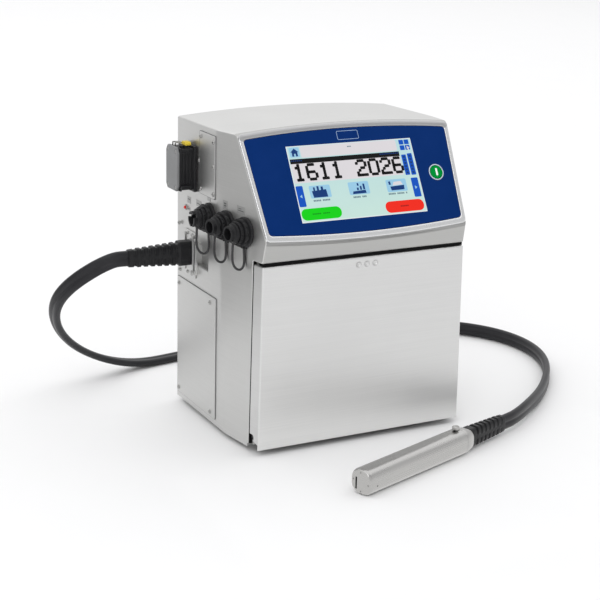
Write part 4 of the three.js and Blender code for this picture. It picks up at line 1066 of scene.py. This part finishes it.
# ---------------------------------------------------------------- left side: connector, plates, lamp, screws
XL = -200.0
hood = [solid_box("h", (-228, -200.3, 121, 167, 390, 458), M["black"], 1.6, 3),
        solid_box("h", (-206, -200.3, 118, 170, 386, 462), M["black"], 1.4, 3),
        solid_box("h", (-230, -214, 112, 124, 393, 399), M["black"], 1.6, 3),
        solid_box("h", (-230.2, -226.5, 119.5, 168.5, 388.6, 459.6), M["black"], 1.0, 2),
        solid_box("h", (-212.5, -209.5, 119.8, 168, 389.4, 459), M["black"], 0.7, 2),
        rod("h", (-221, 134, 457), (-221, 134, 462.6), 4.2, M["black"]), rod("h", (-208, 156, 457), (-208, 156, 464), 3.4, M["black"])]
for i in range(4):
    hood.append(solid_box("h", (-226 + i * 6, -223 + i * 6, 119.4, 124, 396, 452), M["black"], 0.8, 2))
hood = merge("io_hood_body", hood)
put(shade(hood, 30), "cabinet", ["io_connector_hood"])
cv = [(120, 396), (126, 388), (162, 388), (168, 396), (168, 452), (162, 461), (126, 461), (120, 452)]
cover = outward(obj_from("io_cover_plate", [(x, y, z) for x in (-230.3, -235) for y, z in cv],
                         [tuple(range(8)), tuple(range(15, 7, -1))] + [(i, (i + 1) % 8, 8 + (i + 1) % 8, 8 + i) for i in range(8)], M["grey"]))
mod(cover, "BEVEL", width=0.0016, segments=3, limit_method="ANGLE", angle_limit=math.radians(35))
applied(cover)
rec = []
for y, z in ((127.5, 394.5), (160.5, 394.5), (127.5, 454), (160.5, 454)):
    rec.append(rod("cut", (-236, y, z), (-234, y, z), 3.3))
cutaway(cover, rec)
put(shade(cover, 30), "cabinet", ["io_connector_cover"])
for k, (y, z) in enumerate(((127.5, 394.5), (160.5, 394.5), (127.5, 454), (160.5, 454))):
    put(screw_head("io_cover_screw_%d" % (k + 1), (-233.9, y, z), (-1, 0, 0), 2.7, 1.4, M["dark"]), "cabinet")
tagv = [(128, 462.3), (146, 462.3), (146, 465.2), (143.6, 468), (130.2, 468), (128, 465.4)]
tag = outward(obj_from("io_cable_tag", [(x, y, z) for x in (-217, -207) for y, z in tagv],
                       [tuple(range(6)), tuple(range(11, 5, -1))] + [(i, (i + 1) % 6, 6 + (i + 1) % 6, 6 + i) for i in range(6)], M["yellow"]))
mod(tag, "BEVEL", width=0.0006, segments=2, limit_method="ANGLE")
applied(tag)
put(shade(tag, 30), "cabinet", ["io_connector_tag"])
# the spring clip over the hood
clip = []
for y0 in (150.0, 160.5):
    clip.append(rod("c", (-226, y0, 459), (-226, y0, 464.5), 1.2, M["dark"], 16))
    clip.append(rod("c", (-226, y0, 464.5), (-212, y0, 463.4), 1.2, M["dark"], 16))
clip.append(rod("c", (-212, 149.4, 463.4), (-212, 161.1, 463.4), 1.2, M["dark"], 16))
put(shade(merge("io_hood_clip", clip), 40), "cabinet")


def plate_node(node, name, pts, x0, x1, mat, bevel=0.5, holes=()):
    n = len(pts)
    o = outward(obj_from(name, [(x, y, z) for x in (x0, x1) for y, z in pts],
                         [tuple(range(n)), tuple(range(2 * n - 1, n - 1, -1))] + [(i, (i + 1) % n, n + (i + 1) % n, n + i) for i in range(n)], mat))
    mod(o, "BEVEL", width=bevel / 1000, segments=2, limit_method="ANGLE", angle_limit=math.radians(35))
    applied(o)
    return put(shade(o, 30), "cabinet", [node] if node else ())


def rounded(y0, y1, z0, z1, r, n=4):
    return [((y0 + y1) / 2 + a, (z0 + z1) / 2 + b) for a, b in rrect(y1 - y0, z1 - z0, r, n, 1)]


plate_node("side_access_cover", "side_access_panel", rounded(39, 196, 18, 225, 2.5), -200.3, -202.0, M["stainless"], 0.7)
plate_node("interface_plate", "side_interface_panel", rounded(46, 106, 388, 490, 2.5), -200.3, -201.8, M["stainless"], 0.6)
for k, (node, y, z, x) in enumerate((("access_cover_screw_1", 60, 214, -202.0), ("access_cover_screw_2", 57, 26, -202.0), (None, 190, 214, -202.0), (None, 190, 26, -202.0),
                                     ("interface_plate_screw_1", 51, 480, -201.8), ("interface_plate_screw_2", 51, 440, -201.8), ("interface_plate_screw_3", 51, 396, -201.8),
                                     (None, 101, 482, -201.8), (None, 101, 396, -201.8), (None, 112, 440, -200.0), (None, 195, 318, -200.0), (None, 182, 322, -200.0), (None, 190, 238, -200.0))):
    put(screw_head("side_screw_%d" % (k + 1), (x, y, z), (-1, 0, 0), 3.6, 2.0), "cabinet", [node] if node else ())
# conduit entry: clamp plate with its joggle, and its screws
br = [solid_box("b", (-202.3, -200.3, 121.5, 164, 238, 316), M["stainless"], 0.6), solid_box("b", (-202.3, -188, 121.5, 123.5, 262.5, 301.5), M["stainless"], 0.5),
      # painted shade: the recess pan takes a darker copy of the stainless
      solid_box("b", (-190, -188, 72.5, 123.5, 262.5, 301.5), M["recess"], 0.3),
      solid_box("b", (-199.6, -188, 72.4, 123.5, 262.4, 263.6), M["recess"], 0.3), solid_box("b", (-199.6, -188, 72.4, 123.5, 300.4, 301.6), M["recess"], 0.3),
      solid_box("b", (-199.6, -188, 72.4, 73.6, 262.4, 301.6), M["recess"], 0.3)]
put(shade(merge("conduit_clamp_plate", br), 30), "cabinet", ["conduit_bracket"])
# painted shade: the grey piece between the clamp strips is a painted shadow gap
cl = [solid_box("b", (-206.2, -202.3, 122.6, 127.4, 244, 312), M["stainless"], 0.9), solid_box("b", (-204.8, -199.9, 114.2, 117.8, 246, 310), M["stainless"], 0.8), solid_box("b", (-202.5, -200.1, 117.4, 122.8, 247, 309), M["gap_shade_line"], 0.2), solid_box("b", (-204.4, -202.3, 159.5, 164, 246, 310), M["stainless"], 0.8)]
put(shade(merge("conduit_clamp_strips", cl), 30), "cabinet")
for k, (y, z, x) in enumerate(((125.0, 307, -206.2), (125.0, 249, -206.2), (116.0, 305, -204.8), (116.0, 251, -204.8), (134, 310.5, -202.3), (152, 310.5, -202.3), (134, 243.5, -202.3), (152, 243.5, -202.3))):
    put(screw_head("clamp_screw_%d" % (k + 1), (x, y, z), (-1, 0, 0), 2.9, 1.9), "cabinet")
# painted shade: grey rims a little larger than the side plates, painted as shadow lines round their edges
for nm, b4 in (("access", (39, 196, 18, 225)), ("interface", (46, 106, 388, 490))):
    y0_, y1_, z0_, z1_ = b4
    plate_node(None, "side_%s_seal" % nm, rounded(y0_ - 0.5, y1_ + 1.9, z0_ - 0.7, z1_ + 0.7, 3.0), -200.02, -201.2, M["gap_shade_line"], 0.1)
# painted shade: black strips fill the gap over the door and the gaps in its side rebates, painted as the shade in those
# gaps; the black rods sit on the hinge axis
sl = [solid_box("b", (-181.2, 181.2, -92.8, -78, 309.7, 314.2), M["gasket_and_gap_shade"], 0.4)]
for sg in (-1, 1):
    sl.append(rebate(sg, 5.1, -70.3, -67.6, 14.4, 313.6, "b", M["gasket_and_gap_shade"], 0.5))
    sl.append(rod("b", (sg * 174.6, -77, 27), (sg * (half(-77, 27) - 1.6), -77, 27), 4.3, M["black"], 32))
put(shade(merge("door_gap_painted_shade_and_hinge_rods", sl), 30), "cabinet")
lamp = lathe("status_lamp_lens", fillet([(0, 0), (3, 0), (3, 9.2), (2.3, 11.6), (1.0, 12.3), (0, 12.4)], 0.6, 4), (-192, 165, 351), (-1, 0, 0), M["red"], 40)
put(shade(lamp, 35), "cabinet", ["status_lamp"])
lr = lathe("status_lamp_ring", fillet([(3.1, 0), (5.0, 0), (5.0, 1.0), (4.3, 1.5), (3.1, 1.5), (3.1, 0)], 0.3, 3), (-200.05, 165, 351), (-1, 0, 0), M["screw"], 48)
put(shade(lr, 35), "cabinet")


def marking(name, at, nrm, w, h, bars):
    """A small blank marking plate with a few plain bars on it."""
    n = Vector(nrm).normalized()
    t = Vector((0, 0, 1)).cross(n).normalized()
    u = n.cross(t)
    c = Vector(at)

    def slabby(a0, a1, b0__, b1, w0, w1, mat):
        v = [tuple(c + t * a + u * b + n * k) for k in (w0, w1) for a, b in ((a0, b0__), (a1, b0__), (a1, b1), (a0, b1))]
        return outward(obj_from("m", v, [(3, 2, 1, 0), (4, 5, 6, 7), (0, 1, 5, 4), (1, 2, 6, 5), (2, 3, 7, 6), (3, 0, 4, 7)], mat))
    parts = [slabby(-w / 2, w / 2, -h / 2, h / 2, 0.0, 0.45, M["plate"])]
    for a0, a1, b0__, b1 in bars:
        parts.append(slabby(a0 * w / 2, a1 * w / 2, b0__ * h / 2, b1 * h / 2, 0.4, 0.6, M["ink"]))
    put(shade(merge(name, parts), 30), "cabinet")


fn = (-1, -0.141, 0.0125)


def on_facet(y, z):
    return (-half(y, z), y, z)


marking("marking_plate_1", (-200, 71, 388), (-1, 0, 0), 12, 14, [(-0.6, 0.6, 0.3, 0.45), (-0.6, 0.2, -0.1, 0.05)])
marking("marking_plate_2", on_facet(14, 386), fn, 13, 15, [(-0.5, 0.5, 0.25, 0.5), (-0.5, 0.5, -0.2, 0.0), (-0.1, 0.1, -0.6, 0.2)])
marking("marking_plate_3", on_facet(-31, 387), fn, 22, 12, [(-0.7, 0.7, -0.35, -0.1), (-0.6, 0.1, 0.2, 0.4)])
marking("marking_plate_4", (-200, 152, 366), (-1, 0, 0), 14, 11, [(-0.6, 0.6, 0.1, 0.35)])
marking("marking_plate_5", (-200, 112, 368), (-1, 0, 0), 20, 10, [(-0.7, 0.7, -0.2, 0.05)])
marking("marking_plate_6", (-200, 152, 351), (-1, 0, 0), 9, 6, [(-0.6, 0.6, -0.3, 0.3)])

# ---------------------------------------------------------------- printhead
def hloft(name, spec, mat, caps=True, size=40.0, r=9.0, n=9):
    rr = []
    for s, k, rad in spec:
        rr.append([H(s, a, b) for a, b in rrect(size * k, size * k, max(0.4, rad), n, 6)])
    return rings_mesh(name, rr, mat, caps=caps)


nose = [(0.0, 0.885, 14.6), (0.35, 0.907, 14.9), (1.1, 0.936, 15.3), (2.6, 0.972, 15.8), (4.0, 0.992, 16.0), (5.4, 1.0, 16.0), (7.4, 1.0, 16.0)]
outer = hloft("printhead_skin", nose + [(60, 1, 16.0), (120, 1, 15.8), (180, 1, 15.6), (235.5, 1, 15.6), (236, 0.99, 15.4)], M["head"])
inner = hloft("cut", [(2.0, 0.80, 11.6), (5.5, 0.90, 13.4), (8, 0.92, 14.2), (60, 0.92, 14.2), (120, 0.92, 14.0), (240, 0.92, 13.8)], None)
hcuts = [inner]


def hbox(name, s0, s1, a0, a1, b0__, b1, mat=None):
    v = [H(s, a, b) for s in (s0, s1) for a in (a0, a1) for b in (b0__, b1)]
    return outward(obj_from(name, v, [(0, 1, 3, 2), (4, 6, 7, 5), (0, 4, 5, 1), (2, 3, 7, 6), (0, 2, 6, 4), (1, 5, 7, 3)], mat))


hcuts += [hbox("cut", -2, 6, 7.6, 10.6, -13.0, 6.0), hbox("cut", 222, 240, -3.0, 3.0, 14, 23)]
for a, b in ((0.5, 14.8), (-0.5, -14.8), (14.6, 1.5), (-14.6, -1.5)):
    hcuts.append(rod("cut", H(-1, a, b), H(1.0, a, b), 1.25, None, 24))
hcuts.append(rod("cut", H(15.5, -21, -4.5), H(15.5, -18.9, -4.5), 1.3, None, 24))
cutaway(outer, hcuts)
# painted shade: faces turned inward, and the inner face behind the nozzle end, take near-black steel
outer.data.materials.append(M["bore"])
o_, ax_, aa_, ab_ = P(*H(0, 0, 0)), P(*H(100, 0, 0)), P(*H(0, 100, 0)), P(*H(0, 0, 100))
ax_, aa_, ab_ = (ax_ - o_).normalized(), (aa_ - o_).normalized(), (ab_ - o_).normalized()
for f_ in outer.data.polygons:
    c_ = f_.center - o_
    rad_ = aa_ * c_.dot(aa_) + ab_ * c_.dot(ab_)
    if (rad_.length > 0.003 and f_.normal.dot(rad_.normalized()) < -0.2) or (f_.normal.dot(ax_) > 0.5 and c_.dot(ax_) < 0.02):
        f_.material_index = 1
shade(outer, 30)
put(outer, "printhead_cover", ["printhead_cover"])
hs = [screw_head("s", H(0.9, a, b), (-HEAD_C, -HEAD_S, 0), 1.2, 0.5, M["dark"]) for a, b in ((0.5, 14.8), (-0.5, -14.8), (14.6, 1.5), (-14.6, -1.5))]
hs.append(screw_head("s", H(15.5, -19.0, -4.5), (HEAD_S, -HEAD_C, 0), 1.25, 0.5, M["dark"]))
put(merge("printhead_screws", hs), "printhead_cover")
collar = hloft("printhead_tail_collar", [(236.4, 0.985, 15.4), (236.9, 0.997, 15.6), (240.4, 0.999, 15.6), (241.0, 0.985, 15.4), (241.6, 0.985, 15.4), (242.3, 0.992, 15.5), (245.2, 0.965, 15.1), (251, 0.895, 13.9), (255.6, 0.825, 12.7), (256.6, 0.80, 12.3), (257, 0.78, 11.9)], M["head"])
neck = hloft("neck", [(229.5, 0.885, 13.3), (237, 0.885, 13.3)], M["head"])
cutaway(neck, [hbox("cut", 220, 236.39, -20, 20, 8, 20)])
put(shade(merge("printhead_collar_ring", [collar, neck]), 30), "cabinet", ["printhead_collar"])
th = lathe("thumb_screw_head", fillet([(0, -11), (2.2, -11), (2.2, 0.8), (3.8, 0.8), (4.2, 2.0), (6.0, 2.8), (6.1, 6.6), (5.0, 7.8), (1.8, 7.4), (0, 7.4)], 0.4, 3), H(228, 0, 20), (0, 0, 1), M["head"], 72,
           wave=lambda t, r, h: r - (0.35 * (0.5 + 0.5 * math.cos(18 * t)) if r > 5.4 and 2.4 < h < 7.0 else 0))
put(shade(th, 30), "cover_thumb_screw", ["cover_thumb_screw"])

# ---------------------------------------------------------------- ink bay, seen with the door open
mc = [solid_box("m", (-152, -9, -12.6, -10.05, 44, 228), M["module"], 1.4, 3), solid_box("m", (10, 158, -50.4, -48.05, 34, 104), M["module"], 1.2, 3)]
for z in (70, 82, 94, 106, 118):
    mc.append(solid_box("m", (-140, -62, -13.8, -12.4, z, z + 5), M["module"], 0.6))
put(shade(merge("ink_module_covers", mc), 30), "cabinet")
for k, (x, y, z) in enumerate(((-144, -12.6, 52), (-17, -12.6, 52), (-144, -12.6, 220), (-17, -12.6, 220), (18, -50.4, 42), (150, -50.4, 42), (18, -50.4, 96), (150, -50.4, 96))):
    put(screw_head("bay_screw_%d" % (k + 1), (x, y, z), (0, -1, 0), 3.4, 2.0), "cabinet")
bowl = lathe("ink_filter_bowl", fillet([(0, 0), (7, 0), (14, 5), (15.5, 12), (15.5, 46), (17.5, 48), (17.5, 58), (15, 60), (8, 61), (8, 70), (0, 70)], 1.0, 4), (-38, -30, 132), (0, 0, 1), M["cart_white"], 64,
             wave=lambda t, r, h: r - (0.6 * max(0.0, math.cos(20 * t)) if r > 17 and 48 < h < 58 else 0))
put(shade(bowl, 32), "cabinet")
brk = [solid_box("k", (-52, -24, -13.6, -12.4, 176, 206), M["dark"], 0.5), solid_box("k", (-42, -34, -30, -13.0, 188, 191), M["dark"], 0.5)]
put(shade(merge("ink_filter_bracket", brk), 30), "cabinet")
for k, (x0_, mt, slot) in enumerate(((12, "cart_black", "cartridge_black"), (90, "cart_white", "cartridge_white"))):
    rb = [solid_box("g", (x0_ + 14, x0_ + 52, -48.4, -46.9, z, z + 2.4), M[mt], 0.5) for z in (207, 212, 217)]
    put(shade(merge("cartridge_grip_%d" % (k + 1), rb), 30), "cabinet")
    lb = solid_box("cartridge_label_%d" % (k + 1), (x0_ + 11, x0_ + 55, -47.5, -46.95, 132, 198), M["label"], 0.2)
    put(shade(lb, 30), "cabinet")
put(shade(solid_box("module_label", (-128, -76, -13.1, -12.55, 172, 204), M["label"], 0.2), 30), "cabinet")

# rear panel: its screws and a blank rating plate
k = 0
for x in (-187, 187):
    for z in (34, 178, 322, 466):
        k += 1
        put(screw_head("rear_screw_%d" % k, (x, 201.0, z), (0, 1, 0), 3.4, 2.0), "cabinet")
for x in (-66, 66):
    for z in (22, 486):
        k += 1
        put(screw_head("rear_screw_%d" % k, (x, 201.0, z), (0, 1, 0), 3.4, 2.0), "cabinet")
marking("rear_rating_plate", (100, 201.0, 70), (0, 1, 0), 70, 40, [(-0.85, 0.85, 0.5, 0.6), (-0.85, 0.5, 0.2, 0.3), (-0.85, 0.7, -0.1, 0.0), (-0.85, 0.1, -0.4, -0.3)])

# ---------------------------------------------------------------- feet
for nm, x, y in (("front_left", -150, -30), ("front_right", 150, -30), ("rear_left", -160, 168), ("rear_right", 160, 168)):
    ft = lathe("rubber_foot_" + nm, fillet([(0, 0.4), (4, 0.4), (5, 0), (11, 0), (13, 1.5), (13, 7.7), (0, 7.7)], 0.7, 3), (x, y, 0), (0, 0, 1), M["rubber"], 56,
               wave=lambda t, r, h: r - (0.35 * max(0.0, math.cos(24 * t)) if r > 12.5 and h < 7 else 0))
    put(shade(ft, 32), "cabinet", ["foot_" + nm])

# ---------------------------------------------------------------- CAD pieces that stay, with softened edges
KEEP = {
    "base_plate": ("dark", 0.5), "door_hinge_pin_left": ("screw", 0.3), "door_hinge_pin_right": ("screw", 0.3), "rear_panel": ("stainless", 0.25),
    "mains_inlet": ("black", 0.5), "mains_switch_rocker": ("black", 0.5), "cooling_fan_frame": ("black", 0.6), "cooling_fan_rotor": ("black", 0.35),
    "display_module": ("black", 1.0), "door_gasket": ("gasket_and_gap_shade", 0.8), "door_catch": ("black", 0.8), "printhead_chassis": ("dark", 0.5),
    "nozzle_block": ("zinc", 0.5), "deflector_plate_hv": ("brass", 0.3), "deflector_plate_ground": ("dark", 0.3), "gutter_block": ("black", 0.5),
    "ink_system_module": ("module", 2.0), "ink_cartridge": ("cart_black", 2.5), "solvent_cartridge": ("cart_white", 2.5), "bay_divider": ("dark", 0.4),
    "power_supply": ("zinc", 1.0), "control_board": ("board", 0.3),
}
for n, (mat, bev) in KEEP.items():
    o = NODES[n]
    o.data.materials.clear()
    o.data.materials.append(M[mat])
    mod(o, "WELD", merge_threshold=0.00002)
    mod(o, "BEVEL", width=bev / 1000, segments=2, limit_method="ANGLE", angle_limit=math.radians(40), use_clamp_overlap=True)
    mod(o, "WEIGHTED_NORMAL", keep_sharp=True, weight=70)
    for p in o.data.polygons:
        p.use_smooth = True

# ---------------------------------------------------------------- floor and light
fm = Mat("floor_pale", Roughness=0.75, Specular_IOR_Level=0.2)
fm.link(fm.mix(fm.noise(fm.co, 6.0, 3.0), (0.90, 0.90, 0.90), (0.915, 0.915, 0.915)), fm.b.inputs["Base Color"])
bpy.ops.mesh.primitive_plane_add(size=24, location=(0.06, 0.1, -0.0005))
floor = bpy.context.object
floor.name = "floor"
floor.data.materials.append(fm.m)

world = bpy.data.worlds.new("studio")
scene.world = world
world.use_nodes = True
wn = world.node_tree
bg = wn.nodes["Background"]
tcw = wn.nodes.new("ShaderNodeTexCoord")
sep = wn.nodes.new("ShaderNodeSeparateXYZ")
wn.links.new(tcw.outputs["Generated"], sep.inputs[0])
rmp = wn.nodes.new("ShaderNodeValToRGB")
wn.links.new(sep.outputs[2], rmp.inputs["Fac"])
rmp.color_ramp.elements[0].position, rmp.color_ramp.elements[0].color = 0.0, (0.94, 0.94, 0.945, 1)
rmp.color_ramp.elements[1].position, rmp.color_ramp.elements[1].color = 1.0, (0.56, 0.56, 0.57, 1)
e = rmp.color_ramp.elements.new(0.35)
e.color = (0.77, 0.77, 0.775, 1)
wn.links.new(rmp.outputs["Color"], bg.inputs["Color"])
bg.inputs["Strength"].default_value = 1.0


def area(name, at, to, size, power, size_y=None):
    d = bpy.data.lights.new(name, "AREA")
    d.shape = "RECTANGLE"
    d.size, d.size_y = size, size_y or size
    d.energy = power
    o = bpy.data.objects.new(name, d)
    coll.objects.link(o)
    o.location = at
    o.rotation_mode = "QUATERNION"
    o.rotation_quaternion = (Vector(to) - Vector(at)).to_track_quat("-Z", "Y")
    o.visible_camera = False
    return o


area("overhead", (0.1, 4.5, 7.0), (0.1, 4.5, 0), 17.0, 640)
area("key", (-1.9, -2.4, 2.7), (0.05, 0, 0.2), 1.6, 17)


def flag(name, pts, value):
    """A grey card that only shows in reflections, to shape the steel."""
    me = bpy.data.meshes.new(name)
    me.from_pydata([Vector(q) for q in pts], [], [(0, 1, 2, 3)])
    o = bpy.data.objects.new(name, me)
    coll.objects.link(o)
    m = bpy.data.materials.new(name)
    m.use_nodes = True
    m.node_tree.nodes.clear()
    em = m.node_tree.nodes.new("ShaderNodeEmission")
    ou = m.node_tree.nodes.new("ShaderNodeOutputMaterial")
    em.inputs["Color"].default_value = (value, value, value, 1)
    m.node_tree.links.new(em.outputs[0], ou.inputs["Surface"])
    me.materials.append(m)
    o.visible_camera = o.visible_diffuse = o.visible_shadow = o.visible_transmission = False
    return o


flag("card_front", [(-0.30, -0.50, 0.002), (0.48, -0.50, 0.002), (0.48, -0.06, 0.002), (-0.30, -0.06, 0.002)], 1.0)
# a greyer patch of the studio to the left, so that the two folds of the side differ
AX = Vector((-0.86, 0.42, 0.22)).normalized()
AU = Vector((0, 0, 1)).cross(AX).normalized()
AV = AX.cross(AU)
flag("flag_far", [tuple(AX * 2.6 + Vector((0, 0.1, 0.2)) + AU * (1.45 * a) + AV * (1.25 * b)) for a, b in ((-1, -1), (1, -1), (1, 1), (-1, 1))], 0.50)
flag("flag_left", [(-0.80, 0.15, 0.0), (-0.55, 0.85, 0.0), (-0.55, 0.85, 0.55), (-0.80, 0.15, 0.55)], 0.50)
